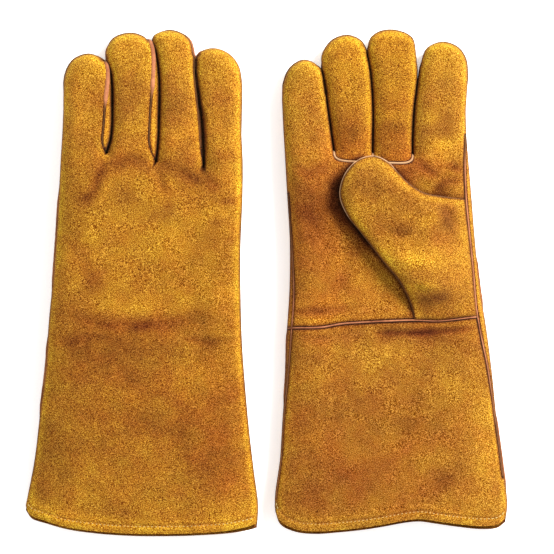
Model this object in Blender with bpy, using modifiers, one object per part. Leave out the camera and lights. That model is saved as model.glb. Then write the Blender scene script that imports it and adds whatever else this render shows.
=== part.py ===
"""A pair of gauntlet welding gloves in golden suede, lying side by side on a flat surface.

The right-hand glove lies palm up and the left-hand glove lies palm down, with its thumb folded under the palm.
Each glove has the Gunn cut: a back in one piece from the fingertips to the hem, a palm that carries the little
and index fingers, separate fronts for the ring and middle fingers, a wing thumb, a separate gauntlet front,
welted seams, a fleece lining in the hand and a cotton lining in the gauntlet.

The leather is cut where the glove bends, at the wrist, at the knuckles and across the root of the thumb, so that
the hand, each finger and the thumb can turn.  Run it with: blender --background --python part.py
"""

from dataclasses import dataclass
from math import acos, cos, pi, sin, sqrt

import bmesh
import bpy
from mathutils import Vector

MM = 0.001
COLLECTION = "welding_gloves"

# Each glove has its own frame, in millimetres: x across the hand with the little finger at -x, y towards the
# fingertips, z out of the palm, and the origin in the middle of the wrist seam.
KNUCKLE_Y = 121.0  # the line that the fingers turn about
CUFF_LENGTH = 144.5  # from the wrist seam to the hem
KNUCKLE_HALF = 62.6  # half widths of the flat glove
WRIST_HALF = 65.2
HEM_HALF = 82.6
FLARE = 1.1  # how late the gauntlet widens, 1 being a straight side
HEM_CORNER = 9.0  # how far the hem's corners are rounded off
HEM_CORNER_SHARPNESS = 12

# Heights above and below the plane of the side seams.
PALM_RISE = 12.5
BACK_DROP = 10.5
FINGER_RISE = 10.0
PALM_SQUARENESS = 2.8  # exponents of the superellipse sections: 2 is round, and more is flatter
BACK_SQUARENESS = 4.0
FINGER_SQUARENESS = 2.5

LEATHER = 1.4  # thicknesses
LINING = 1.5
LINING_INSET = 2.5  # from the leather's outer face to the lining's outer face
GAP = 0.4  # between neighbouring pieces
SEAM_GAP = 0.6  # from the plane of a side seam to the edge of the leather on each side of it
WELT_RADIUS = 0.6
WELT_OFFSET = WELT_RADIUS + 0.35  # from a seam's edge to the middle of its welt
WELT_ABOVE_HEM = 3.0  # where the side welts end

SEAM_RISE = 4.0  # how far the wrist seam climbs from its middle to the thumb side
TIP_LENGTH = 17.0  # the rounded end of a finger
FLATTENED = 1.04  # a section is made this much too high, and cut flat at its full height
WRIST_CUT = 2.6  # from the wrist seam to the edges of the leather on each side of it
KNUCKLE_CUT = 1.0  # the same, at the knuckles

# The thumb's two edges, from its root to its tip, on the palm.
THUMB_UPPER = ((57, 88), (42, 88.5), (27, 96), (14, 107.5), (-2, 115), (-16, 112.5), (-23, 105.5))
THUMB_LOWER = ((23.5, 2.5), (11, 27), (-3.5, 49), (-17, 67), (-26, 84), (-27, 97), (-23, 105.5))
ROWS_ABOVE_THUMB = 0.3  # share of the hand's rows that lie between the knuckles and the thumb's root
SLANT_LENGTH = 16.0  # in which the palm's edge runs from the top of the thumb's root to the side seam
THUMB_THICKNESS = 18.0
THUMB_SEAM_RISE = 9.0  # height of the thumb's seam above the palm
THUMB_ROOT_RISE = 1.6  # the same, where the thumb leaves the palm
THUMB_CLEAR = 1.3  # between the thumb and the palm below it
THUMB_LIFTS_BY = 0.3  # share of its length in which the seam rises to full height
THUMB_TIP_FROM = 0.62  # share of its length where the rounded tip starts
THUMB_FLATTENED_BY = 1.2  # how much of the thumb's thickness its flat outer face takes off
THUMB_TOP = SEAM_GAP + PALM_RISE + THUMB_CLEAR + THUMB_THICKNESS - THUMB_FLATTENED_BY

SUEDE = (0.60, 0.30, 0.035)
WELT_LEATHER = (0.60, 0.24, 0.10)
PALE_WELT = (0.72, 0.52, 0.36)
FLEECE = (0.62, 0.58, 0.50)
COTTON = (0.46, 0.30, 0.12)


@dataclass(frozen=True)
class Finger:
    """One finger in the glove's frame: where its middle lies at the knuckles and near the tip, its two half
    widths there, and how far its tip reaches."""

    name: str
    base_x: float
    tip_x: float
    base_half: float
    tip_half: float
    tip_y: float
    droop: float = 0.0  # how far the tip lies below the knuckles

    def share(self, y):
        return (y - KNUCKLE_Y) / (self.tip_y - KNUCKLE_Y)

    def middle(self, y):
        return self.base_x + (self.tip_x - self.base_x) * self.share(y)

    def half(self, y):
        return self.base_half + (self.tip_half - self.base_half) * self.share(y)


@dataclass(frozen=True)
class Glove:
    """One glove as it lies. The three middles are those of the knuckles, the wrist and the hem."""

    side: str
    place: tuple  # of the glove's own frame, in the pair's frame
    faces_up: int  # 1 with the palm up, -1 with the palm down
    middles: tuple
    fingers: tuple
    hem_wave: tuple  # height, phase in half turns, tilt and bow of the hem line
    cuff_droop: float  # how far the hem lies nearer the palm's side than the wrist

    def in_pair(self, x, y, z):
        """The point in the pair's frame. The left glove is turned over, as a mirror image in height."""
        left, forward, up = self.place
        return Vector((x + left, y + forward, z * self.faces_up + up))


RIGHT = Glove(
    side="right",
    place=(78.82, -28.34, BACK_DROP + SEAM_GAP),
    faces_up=1,
    middles=(-3.0, 5.3, 8.8),
    fingers=(
        Finger("little", -50.0, -53.6, 15.0, 13.2, 184.0),
        Finger("ring", -19.0, -24.6, 12.6, 14.9, 201.0),
        Finger("middle", 9.6, 8.6, 12.2, 15.3, 205.5),
        Finger("index", 41.6, 45.2, 16.4, 14.6, 196.5),
    ),
    hem_wave=(4.5, 0.25, 0.0, 0.0),
    cuff_droop=0.0,
)
LEFT = Glove(
    side="left",
    place=(-83.78, -28.34, THUMB_TOP),
    faces_up=-1,
    middles=(1.7, -3.5, -6.4),
    fingers=(
        Finger("little", -46.0, -45.8, 14.0, 13.2, 189.0, 24.2),
        Finger("ring", -13.6, -15.4, 14.6, 13.4, 203.0, 23.6),
        Finger("middle", 20.6, 15.4, 14.0, 13.4, 205.5, 23.5),
        Finger("index", 51.2, 48.4, 12.6, 13.6, 193.0, 24.0),
    ),
    hem_wave=(0.0, 0.0, -6.0, 12.0),
    cuff_droop=THUMB_TOP - PALM_RISE - SEAM_GAP,
)


# ---------------------------------------------------------------- sizes of the hand and gauntlet


def middle_x(glove, y):
    """The middle of the glove at y, on the parabola through its three middles."""
    knuckle, wrist, hem = glove.middles
    top = (y + CUFF_LENGTH) * y / ((KNUCKLE_Y + CUFF_LENGTH) * KNUCKLE_Y)
    low = (y - KNUCKLE_Y) * y / ((KNUCKLE_Y + CUFF_LENGTH) * CUFF_LENGTH)
    return knuckle * top + hem * low + wrist * (1 - top - low)


def half_width(y):
    if y > 0:
        return WRIST_HALF + (KNUCKLE_HALF - WRIST_HALF) * y / KNUCKLE_Y
    return WRIST_HALF + (HEM_HALF - WRIST_HALF) * (-y / CUFF_LENGTH) ** FLARE


def lay(glove, y):
    """How far the glove's middle plane lies towards the palm's side at y: nothing in the hand."""
    share = min(1.0, max(0.0, -y / CUFF_LENGTH))
    return glove.cuff_droop * share * share * (3 - 2 * share)


def seam_y(across):
    """The wrist seam's height at across, from -1 at the little finger's side to 1."""
    return SEAM_RISE * across


def hem_y(glove, across):
    """The hem line: a wave, a tilt and a bow, with rounded corners."""
    height, phase, tilt, bow = glove.hem_wave
    wave = height * sin(pi * (across + phase)) + tilt * across + bow * across**2
    corner = HEM_CORNER * abs(across) ** HEM_CORNER_SHARPNESS
    return -CUFF_LENGTH - 0.3 * bow + wave + corner


def power(value, exponent):
    """value to the exponent, with value's own sign."""
    return abs(value) ** exponent * (1 if value >= 0 else -1)


def arch(angle, squareness):
    """(across, height) of a superellipse with half width 1, flattened at height 1."""
    height = FLATTENED * power(sin(angle), 2 / squareness)
    return power(cos(angle), 2 / squareness), max(-1.0, min(1.0, height))


def palm_height(glove, x, y, inset=0.0):
    """The height of the palm's outer face over the plane of the side seams."""
    across = (x - middle_x(glove, y)) / (half_width(y) - inset)
    rest = max(0.0, 1 - abs(across) ** PALM_SQUARENESS) ** (1 / PALM_SQUARENESS)
    return SEAM_GAP + (PALM_RISE - inset) * min(1.0, FLATTENED * rest) + lay(glove, y)


def thumb_root_x(y):
    """Where the line that the thumb turns about crosses y."""
    (x_top, y_top), (x_low, y_low) = THUMB_UPPER[0], THUMB_LOWER[0]
    return x_low + (x_top - x_low) * min(1.0, max(0.0, (y - y_low) / (y_top - y_low)))


def thumb_root_rise(y):
    """How far the thumb's outer face stands over the palm along its root."""
    (_, y_top), (_, y_low) = THUMB_UPPER[0], THUMB_LOWER[0]
    share = min(1.0, max(0.0, (y - y_low) / (y_top - y_low)))
    round_part = (2 * sqrt(share * (1 - share))) ** (2 / FINGER_SQUARENESS)
    rise = THUMB_CLEAR + THUMB_ROOT_RISE
    return rise + (THUMB_THICKNESS - rise) * round_part


# ---------------------------------------------------------------- building blocks


def material(name, colour, roughness):
    made = bpy.data.materials.new(name)
    made.use_nodes = True
    shader = made.node_tree.nodes["Principled BSDF"]
    shader.inputs["Base Color"].default_value = (*colour, 1)
    shader.inputs["Roughness"].default_value = roughness
    shader.inputs["Metallic"].default_value = 0.0
    made.diffuse_color = (*colour, 1)
    return made


def joint_frame(name, glove, anchor, parent=None):
    """An empty on a joint's axis, which the pieces that turn there hang from."""
    made = bpy.data.objects.new(f"{glove.side}_{name}", None)
    bpy.data.collections[COLLECTION].objects.link(made)
    made["anchor"] = glove.in_pair(*anchor) * MM
    made.location = made["anchor"]
    if parent:
        made.parent = parent
        made.location = Vector(made["anchor"]) - Vector(parent["anchor"])
    return made


def add(frame, name, data, finish):
    """An object with its origin on its joint's axis."""
    made = bpy.data.objects.new(name, data)
    data.materials.append(finish)
    bpy.data.collections[COLLECTION].objects.link(made)
    made.parent = frame
    return made


def sheet(glove, frame, name, place, cells, finish, thickness, outward):
    """A sheet of leather or lining: a grid bent to place(u, v) in the glove's frame, with its thickness on the
    inner side. outward(point, normal) is positive where the normal points out of the glove."""
    origin = Vector(frame["anchor"])
    bm = bmesh.new()
    bmesh.ops.create_grid(bm, x_segments=cells[0], y_segments=cells[1], size=1)
    for vertex in bm.verts:
        u, v = (vertex.co.x + 1) / 2, (vertex.co.y + 1) / 2
        vertex.co = glove.in_pair(*place(u, v)) * MM
    bmesh.ops.remove_doubles(bm, verts=bm.verts, dist=0.01 * MM)
    bm.normal_update()
    agree = sum(outward(face.calc_center_median() / MM, face.normal) * face.calc_area() for face in bm.faces)
    if agree < 0:
        bmesh.ops.reverse_faces(bm, faces=bm.faces)
    for vertex in bm.verts:
        vertex.co -= origin
    mesh = bpy.data.meshes.new(f"{glove.side}_{name}")
    bm.to_mesh(mesh)
    bm.free()
    mesh.shade_smooth()
    made = add(frame, f"{glove.side}_{name}", mesh, finish)
    solid = made.modifiers.new("thickness", "SOLIDIFY")
    solid.thickness = thickness * MM
    solid.offset = -1
    solid.use_even_offset = False


def facing(glove, sign):
    """Outward for a sheet on the palm's side, 1, or the back's side, -1."""
    return lambda point, normal: normal.z * glove.faces_up * sign


def away_from(glove, line):
    """Outward from the point line(y) in the middle of a tube, in the glove's frame."""

    def outward(point, normal):
        return normal.dot(point - glove.in_pair(*line(point.y - glove.place[1])))

    return outward


def welt(glove, frame, name, points, finish):
    """A thin strip of leather caught in a seam, as a cord through the points."""
    curve = bpy.data.curves.new(f"{glove.side}_{name}", "CURVE")
    curve.dimensions = "3D"
    curve.bevel_depth = WELT_RADIUS * MM
    curve.bevel_resolution = 1
    curve.use_fill_caps = True
    line = curve.splines.new("POLY")
    line.points.add(len(points) - 1)
    for spot, point in zip(line.points, points):
        spot.co = (*(glove.in_pair(*point) * MM - Vector(frame["anchor"])), 1)
    add(frame, f"{glove.side}_{name}", curve, finish)


def along(points, share):
    """The point at share, 0 to 1, on the smooth curve through the points (Catmull-Rom)."""
    at = min(share, 0.999999) * (len(points) - 1)
    i, t = int(at), at - int(at)
    p = [Vector(points[min(max(k, 0), len(points) - 1)]) for k in range(i - 1, i + 3)]
    return 0.5 * (
        2 * p[1]
        + (p[2] - p[0]) * t
        + (2 * p[0] - 5 * p[1] + 4 * p[2] - p[3]) * t**2
        + (3 * p[1] - p[0] - 3 * p[2] + p[3]) * t**3
    )


# ---------------------------------------------------------------- hand and gauntlet


def hand_row(share, low):
    """y at share of the way from the knuckles to low. The first rows end at the top of the thumb's root."""
    top, root = KNUCKLE_Y - KNUCKLE_CUT, THUMB_UPPER[0][1]
    if share < ROWS_ABOVE_THUMB:
        return top + (root - top) * share / ROWS_ABOVE_THUMB
    return root + (low - root) * (share - ROWS_ABOVE_THUMB) / (1 - ROWS_ABOVE_THUMB)


def hand_back(glove, frame, finish):
    """The back of the hand, from the knuckles to the wrist."""

    def place(u, v):
        across, height = arch(pi + pi * u, BACK_SQUARENESS)
        y = hand_row(v, seam_y(across) + WRIST_CUT)
        return middle_x(glove, y) + half_width(y) * across, y, -SEAM_GAP + BACK_DROP * height

    sheet(glove, frame, "hand_back", place, (10, 10), finish, LEATHER, facing(glove, -1))


def palm(glove, frame, finish):
    """The palm, from the knuckles to the wrist seam. Below the index finger it ends at the root of the thumb."""

    def place(u, v):
        y = hand_row(v, seam_y(2 * u - 1) + WRIST_CUT)
        end = (thumb_root_x(y) - GAP - middle_x(glove, y)) / half_width(y)
        above_thumb = (y - THUMB_UPPER[0][1] - THUMB_CLEAR) / SLANT_LENGTH
        end += (1 - end) * min(1.0, max(0.0, above_thumb))
        stop = acos(min(1.0, power(end, PALM_SQUARENESS / 2)))
        across, height = arch(pi + (stop - pi) * u, PALM_SQUARENESS)
        x = middle_x(glove, y) + half_width(y) * across
        return x, y, SEAM_GAP + PALM_RISE * height

    sheet(glove, frame, "palm", place, (8, 10), finish, LEATHER, facing(glove, 1))


def cuff_side(glove, frame, finish, side, sign):
    """One side of the gauntlet, from the wrist seam to the hem: its front, 1, or its back, -1."""
    squareness = PALM_SQUARENESS if sign == 1 else BACK_SQUARENESS
    rise = PALM_RISE if sign == 1 else BACK_DROP

    def place(u, v):
        across, height = arch(pi - pi * u, squareness)
        top = seam_y(across) - WRIST_CUT
        y = top + (hem_y(glove, across) - top) * v
        x = middle_x(glove, y) + half_width(y) * across
        return x, y, sign * (SEAM_GAP + rise * height) + lay(glove, y)

    sheet(glove, frame, f"cuff_{side}", place, (10, 7), finish, LEATHER, facing(glove, sign))


def thumb_base(glove, frame, finish):
    """The part of the thumb's front that stays with the hand: from the thumb's root to the side seam."""
    (_, y_top), (_, y_low) = THUMB_UPPER[0], THUMB_LOWER[0]
    low = max(y_low + GAP, SEAM_RISE + WRIST_CUT)

    def place(u, v):
        y = y_top + (low - y_top) * v
        left = thumb_root_x(y) + GAP
        right = middle_x(glove, y) + half_width(y)
        top = min(THUMB_TOP, palm_height(glove, left, y) + thumb_root_rise(y))
        angle = (pi / 2) * (1 - u)
        return left + (right - left) * cos(angle), y, SEAM_GAP + (top - SEAM_GAP) * sin(angle)

    sheet(glove, frame, "thumb_base", place, (6, 7), finish, LEATHER, facing(glove, 1))


def hand_lining(glove, frame, finish):
    """The fleece in the hand. It is open along the root of the thumb, where the wearer's thumb goes out."""
    palm_part, back_part = 0.4, 0.8
    inset = LINING_INSET

    def place(u, v):
        y = hand_row(v, SEAM_RISE + WRIST_CUT)
        middle, half = middle_x(glove, y), half_width(y) - inset
        root_x = thumb_root_x(y)
        if u < palm_part:
            end = min(0.985, (root_x - 2 - middle) / half)
            stop = acos(power(end, PALM_SQUARENESS / 2))
            across, height = arch(stop + (pi - stop) * u / palm_part, PALM_SQUARENESS)
            return middle + half * across, y, (PALM_RISE - inset) * height
        if u < back_part:
            share = (u - palm_part) / (back_part - palm_part)
            across, height = arch(pi + pi * share, BACK_SQUARENESS)
            return middle + half * across, y, (BACK_DROP - inset) * height
        angle = (pi / 2) * (u - back_part) / (1 - back_part)
        left = min(root_x + 1.5, middle + half - 3)
        top = min(THUMB_TOP, palm_height(glove, left, y) + thumb_root_rise(y)) - inset
        if y > THUMB_UPPER[0][1] - GAP:
            top = palm_height(glove, left, y, inset) - SEAM_GAP
        return left + (middle + half - left) * cos(angle), y, top * sin(angle)

    outward = away_from(glove, lambda y: (middle_x(glove, y), y, 0))
    sheet(glove, frame, "hand_lining", place, (20, 10), finish, LINING, outward)


def cuff_lining(glove, frame, finish):
    """The cotton tube in the gauntlet, from the wrist to just inside the hem."""

    def place(u, v):
        angle = 2 * pi * u
        squareness = PALM_SQUARENESS if u < 0.5 else BACK_SQUARENESS
        rise = PALM_RISE if u < 0.5 else BACK_DROP
        across, height = arch(angle, squareness)
        top = seam_y(across) - WRIST_CUT
        y = top + (hem_y(glove, across) + 2 - top) * v
        x = middle_x(glove, y) + (half_width(y) - LINING_INSET) * across
        return x, y, (rise - LINING_INSET) * height + lay(glove, y)

    outward = away_from(glove, lambda y: (middle_x(glove, y), y, lay(glove, y)))
    sheet(glove, frame, "cuff_lining", place, (20, 7), finish, LINING, outward)


def side_welt(glove, frame, finish, name, sign, high, low, steps):
    """A stretch of the welt in a side seam, on the thumb's side, 1, or the little finger's side, -1."""
    points = []
    for i in range(steps + 1):
        y = high + (low - high) * i / steps
        x = middle_x(glove, y) + sign * (half_width(y) + WELT_OFFSET)
        points.append((x, y, lay(glove, y)))
    welt(glove, frame, name, points, finish)


def wrist_welt(glove, frame, finish):
    """The welt across the palm side of the wrist seam, on the gauntlet's edge."""
    points = []
    steps = 16
    first_angle, sweep = 0.93 * pi, 0.86 * pi
    for i in range(steps + 1):
        across, _ = arch(first_angle - sweep * i / steps, PALM_SQUARENESS)
        y = seam_y(across) - WRIST_CUT
        x = middle_x(glove, y) + half_width(y) * across
        points.append((x + WELT_OFFSET * across**7, y, palm_height(glove, x, y) + WELT_OFFSET))
    welt(glove, frame, "wrist_welt", points, finish)


def finger_base_welt(glove, frame, finish):
    """The welt where the ring and middle fingers' fronts meet the palm: a shallow U with rounded corners."""
    ring, middle = glove.fingers[1], glove.fingers[2]
    left, right = ring.base_x - ring.base_half, middle.base_x + middle.base_half
    corner, depth, steps = 7.0, 7.0, 4
    points = []
    for centre, first_angle in ((left + corner, pi), (right - corner, 1.5 * pi)):
        for i in range(steps + 1):
            angle = first_angle + (pi / 2) * i / steps
            points.append((centre + corner * cos(angle), depth * sin(angle)))
    top = KNUCKLE_Y - KNUCKLE_CUT - WELT_RADIUS
    lifted = [(x, top + y, palm_height(glove, x, top + y) + WELT_OFFSET) for x, y in points]
    welt(glove, frame, "finger_base_welt", lifted, finish)


# ---------------------------------------------------------------- fingers


def finger_row(finger, share, inset=0.0):
    """(middle x, y, half width, height share, droop) of a finger's section at share of its length. The last
    part of the steps goes round the tip."""
    tip_from, length = 0.4, TIP_LENGTH
    round_y = finger.tip_y - length
    start = KNUCKLE_Y + KNUCKLE_CUT
    if share < tip_from:
        y = start + (round_y - start) * share / tip_from
        full = 1.0
    else:
        angle = (pi / 2) * (share - tip_from) / (1 - tip_from)
        y = round_y + (length - inset) * sin(angle)
        full = cos(angle) if share < 1 else 0.0
    half = (finger.half(min(y, round_y)) - inset) * full
    return finger.middle(y), y, half, full, finger.droop * finger.share(y)


def finger_side(glove, frame, finish, finger, side, sign):
    """The front, 1, or the back, -1, of a finger, closed round the tip."""
    rise = FINGER_RISE if sign == 1 else BACK_DROP
    squareness = FINGER_SQUARENESS if sign == 1 else BACK_SQUARENESS

    def place(u, v):
        middle, y, half, full, droop = finger_row(finger, v)
        across, height = arch(pi * u, squareness)
        return middle + half * across, y, droop + sign * (SEAM_GAP + rise * height * full)

    name = f"{finger.name}_{side}"
    sheet(glove, frame, name, place, (6, 5), finish, LEATHER, facing(glove, sign))


def finger_lining(glove, frame, finish, finger):
    """The fleece in a finger, closed round the tip."""
    inset = LINING_INSET

    def place(u, v):
        middle, y, half, full, droop = finger_row(finger, v, inset)
        front = u < 0.5
        squareness = FINGER_SQUARENESS if front else BACK_SQUARENESS
        rise = (FINGER_RISE if front else BACK_DROP) - inset
        across, height = arch(2 * pi * u, squareness)
        return middle + half * across, y, droop + rise * height * full

    def core(y):
        return finger.middle(y), min(y, finger.tip_y - TIP_LENGTH), finger.droop * finger.share(y)

    name = f"{finger.name}_lining"
    sheet(glove, frame, name, place, (12, 5), finish, LINING, away_from(glove, core))


# ---------------------------------------------------------------- thumb


def thumb_row(glove, share):
    """(lower edge, upper edge, roundness, seam rise) of the thumb's section at share of its length."""
    lower, upper = along(THUMB_LOWER, share), along(THUMB_UPPER, share)
    full = 1.0
    if share > THUMB_TIP_FROM:
        full = sqrt(max(0.0, 1 - ((share - THUMB_TIP_FROM) / (1 - THUMB_TIP_FROM)) ** 2))
    lift = min(1.0, share / THUMB_LIFTS_BY)
    rise = THUMB_ROOT_RISE + (THUMB_SEAM_RISE - THUMB_ROOT_RISE) * lift * lift * (3 - 2 * lift)
    return lower, upper, full, rise


def thumb_core(glove, share):
    """A point inside the thumb, in the middle of its section."""
    lower, upper, _, rise = thumb_row(glove, share)
    spot = (lower + upper) / 2
    return spot.x, spot.y, palm_height(glove, spot.x, min(spot.y, KNUCKLE_Y)) + THUMB_CLEAR + rise + 2


def thumb_point(glove, share, angle, inset=0.0, narrower=0.0):
    """A point of the thumb's section: angle 0 and pi are its two seams, and up to pi is its outer face."""
    lower, upper, full, rise = thumb_row(glove, share)
    across, height = arch(angle, FINGER_SQUARENESS)
    centre, reach = (lower + upper) / 2, (upper - lower) / 2
    if reach.length > 0:
        reach *= max(0.0, reach.length - inset - narrower) / reach.length
    root_line = (Vector(THUMB_UPPER[0]) - Vector(THUMB_LOWER[0])).normalized()
    off_root = Vector((-root_line.y, root_line.x)) * GAP
    spot = centre + reach * across + off_root
    seam = palm_height(glove, spot.x, min(spot.y, KNUCKLE_Y)) + THUMB_CLEAR + rise
    if angle > pi:
        return spot.x, spot.y, seam + max(0.0, rise - inset) * height * full
    return spot.x, spot.y, min(THUMB_TOP - inset, seam + (THUMB_THICKNESS - rise - inset) * height * full)


def thumb_side(glove, frame, finish, side, sign):
    """The moving part of the thumb: its front, 1, which faces away from the palm, or its back, -1."""

    def place(u, v):
        angle = pi * u if sign == 1 else 2 * pi - pi * u
        x, y, z = thumb_point(glove, v, angle, narrower=0 if sign == 1 else LEATHER + GAP)
        return x, y, min(THUMB_TOP, z + sign * SEAM_GAP)

    sheet(glove, frame, f"thumb_{side}", place, (8, 10), finish, LEATHER, facing(glove, sign))


def thumb_lining(glove, frame, finish):
    """The fleece in the thumb, closed round the tip."""
    start, reach, centreline = 0.16, 0.66, 10

    def place(u, v):
        if v == 1:
            return thumb_core(glove, start + reach)
        return thumb_point(glove, start + reach * v, 2 * pi * u, LINING_INSET + 0.2, LEATHER + GAP)

    core = [glove.in_pair(*thumb_core(glove, k / centreline)) for k in range(centreline)]

    def outward(point, normal):
        return normal.dot(point - min(core, key=lambda spot: (spot - point).length))

    sheet(glove, frame, "thumb_lining", place, (12, 8), finish, LINING, outward)


def thumb_welt(glove, frame, finish):
    """The welt round the thumb, from the middle of its lower edge over the tip to its root."""
    steps = 14
    stations = [(i / steps, 1) for i in range(4, steps)]
    stations += [(i / steps, -1) for i in range(steps - 1, 1, -1)]
    points = []
    for share, edge in stations:
        lower, upper, _, rise = thumb_row(glove, share)
        spot = lower if edge == 1 else upper
        out = (spot - (lower + upper) / 2).normalized()
        if share > 0.9:
            tip, before = along(THUMB_LOWER, 1), (lower + upper) / 2
            out = (out + (tip - before).normalized()).normalized()
        spot = spot + out * WELT_OFFSET
        height = palm_height(glove, spot.x, min(spot.y, KNUCKLE_Y)) + THUMB_CLEAR + rise
        points.append((spot.x, spot.y, height))
    welt(glove, frame, "thumb_welt", points, finish)


# ---------------------------------------------------------------- assembly


def build_glove(glove, finishes):
    """All the pieces of one glove, hung from the axes that they turn about."""
    suede, welt_leather, fleece = finishes["suede"], finishes["welt"], finishes["fleece"]

    cuff = joint_frame("cuff_frame", glove, (0, -CUFF_LENGTH, 0))
    cuff_side(glove, cuff, suede, "front", 1)
    cuff_side(glove, cuff, suede, "back", -1)
    cuff_lining(glove, cuff, finishes["cotton"])
    wrist_welt(glove, cuff, welt_leather)

    hand = joint_frame("wrist_axis", glove, (0, 0, 0), cuff)
    hand_back(glove, hand, suede)
    palm(glove, hand, suede)
    thumb_base(glove, hand, suede)
    hand_lining(glove, hand, fleece)
    finger_base_welt(glove, hand, finishes["pale_welt"])

    for name, sign in (("outer", -1), ("inner", 1)):
        seam, end = seam_y(sign), hem_y(glove, sign) + WELT_ABOVE_HEM
        side_welt(
            glove, hand, welt_leather, f"{name}_hand_welt", sign, KNUCKLE_Y - KNUCKLE_CUT, seam + WRIST_CUT, 7
        )
        side_welt(glove, cuff, welt_leather, f"{name}_cuff_welt", sign, seam - WRIST_CUT, end, 8)

    for finger in glove.fingers:
        anchor = (finger.base_x, KNUCKLE_Y, SEAM_GAP + PALM_RISE)
        turning = joint_frame(f"{finger.name}_axis", glove, anchor, hand)
        finger_side(glove, turning, suede, finger, "front", 1)
        finger_side(glove, turning, suede, finger, "back", -1)
        finger_lining(glove, turning, fleece, finger)

    (x_top, y_top), (x_low, y_low) = THUMB_UPPER[0], THUMB_LOWER[0]
    anchor = ((x_top + x_low) / 2, (y_top + y_low) / 2, THUMB_TOP)
    thumb = joint_frame("thumb_axis", glove, anchor, hand)
    thumb_side(glove, thumb, suede, "front", 1)
    thumb_side(glove, thumb, suede, "back", -1)
    thumb_lining(glove, thumb, fleece)
    thumb_welt(glove, thumb, finishes["pale_welt"])


def main():
    for old in list(bpy.data.objects):
        bpy.data.objects.remove(old)
    bpy.context.scene.collection.children.link(bpy.data.collections.new(COLLECTION))
    finishes = {
        "suede": material("suede", SUEDE, 0.95),
        "welt": material("welt", WELT_LEATHER, 0.8),
        "pale_welt": material("pale_welt", PALE_WELT, 0.8),
        "fleece": material("fleece", FLEECE, 1.0),
        "cotton": material("cotton", COTTON, 0.95),
    }
    for glove in (RIGHT, LEFT):
        build_glove(glove, finishes)


main()
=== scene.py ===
"""The looks of a pair of suede gauntlet welding gloves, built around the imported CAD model.

Each glove is two sheets of leather cut to the glove's outline and sewn together round it, with a wing thumb
on the palm. Lengths are millimetres in the row frame's X and Y. A height is measured from the plane of the
glove's side seams: towards the palm on the front sheet, and towards the back on the back sheet.
"""

from math import pi

import bpy
import numpy as np
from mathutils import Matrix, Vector, noise
from mathutils.geometry import delaunay_2d_cdt
from mathutils.kdtree import KDTree


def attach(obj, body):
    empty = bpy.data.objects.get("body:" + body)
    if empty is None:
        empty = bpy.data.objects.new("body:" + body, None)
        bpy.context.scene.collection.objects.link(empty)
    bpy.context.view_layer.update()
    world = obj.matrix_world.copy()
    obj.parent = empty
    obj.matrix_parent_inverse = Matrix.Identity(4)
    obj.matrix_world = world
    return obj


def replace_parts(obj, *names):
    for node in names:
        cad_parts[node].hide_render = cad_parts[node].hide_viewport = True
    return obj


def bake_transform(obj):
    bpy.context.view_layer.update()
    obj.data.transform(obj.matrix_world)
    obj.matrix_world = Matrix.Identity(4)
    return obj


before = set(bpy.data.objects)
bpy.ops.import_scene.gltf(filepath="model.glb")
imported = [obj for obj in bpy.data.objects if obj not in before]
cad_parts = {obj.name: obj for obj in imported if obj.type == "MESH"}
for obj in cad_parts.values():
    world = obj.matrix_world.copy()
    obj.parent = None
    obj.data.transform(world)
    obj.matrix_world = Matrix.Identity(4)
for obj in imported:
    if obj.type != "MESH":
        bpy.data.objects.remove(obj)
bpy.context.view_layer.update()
MM = 0.001

# ---------------------------------------------------------------------------------------- shape of the gloves

KNUCKLE_Y = 92.66  # the fingers' hinges
CUT_Y = 93.2  # where the leather is cut between the hand and the fingers
ORIGIN = (0.78, 0.94)  # the row frame's origin in the numbers of the outlines and seams
WRIST_Y = -28.34  # the wrist's hinge
FINGERS = ("index", "middle", "ring", "little")  # from the thumb's side

PALM_RISE = 13.1  # heights of the sheets in the middle of the glove
FINGER_RISE = 10.6
BACK_RISE = 11.1
FINGER_ROUNDING = {"front": 12.6, "back": 11.4}  # distance from the edge to a sheet's full height
HAND_ROUNDING = 7.0  # how much more it is in the hand
CUFF_ROUNDING = 26.0  # and how much more at the hem
HEM_THINNING = 0.9  # how much lower a sheet's outer face is at the hem
LEATHER = 1.3  # thicknesses of the leather and the linings
HEM_LEATHER = 2.4
THUMB_LEATHER = LEATHER * 0.8
FLEECE_LINING = 1.4
COTTON_LINING = 0.9
HEM_LIP = 1.9  # how far the lower sheet's hem lies beyond the outline
HEM_SHORT = 1.5  # how far the upper sheet's hem stays inside it
HEM_TO_STITCHING = 6.6
SEAM_GAP = 0.35  # from the seam plane to the edge of each sheet
THUMB_RISE = 16.3  # height of the thumb's middle above the palm
THUMB_EDGE_RISE = 8.5  # height of its free edge at the tip
THUMB_TOP = 31.2  # the greatest height of all
CUFF_DROOP = 18.1  # how far the left glove's gauntlet slopes down from the wrist to the hem
CUFF_LENGTH = 144.5
FINGER_DROOP = 24.0  # how far its fingers slope down over their length
FINGER_LENGTH = 78.0
BASE_SAG = 7.4  # how far the seams at the finger bases hang below the crotches
BASE_SQUARENESS = 0.55
STRIP = {"middle": 1.7, "ring": 6.4, "little": 5.8}  # width of the strip along a finger's thumb side
MIRRORED_SCALE = 0.9366  # fits the right glove's palm details to the left glove's width
MIRRORED_SHIFT = -158.2

SIGN = {"front": 1, "back": -1}  # the side of the seam plane on which a sheet lies
SEAM_STEP = 0.6  # spacings of the points along the seams, along the outline and over each kind of sheet
OUTLINE_STEP = 1.25
SHEET_STEP = 2.1
THUMB_STEP = 2.0
LINING_STEP = 4.5
EDGE_RINGS = (0.5, 1.2, 2.2, 3.6, 5.4)  # distances of the rows of points inside a sheet's edge

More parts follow.
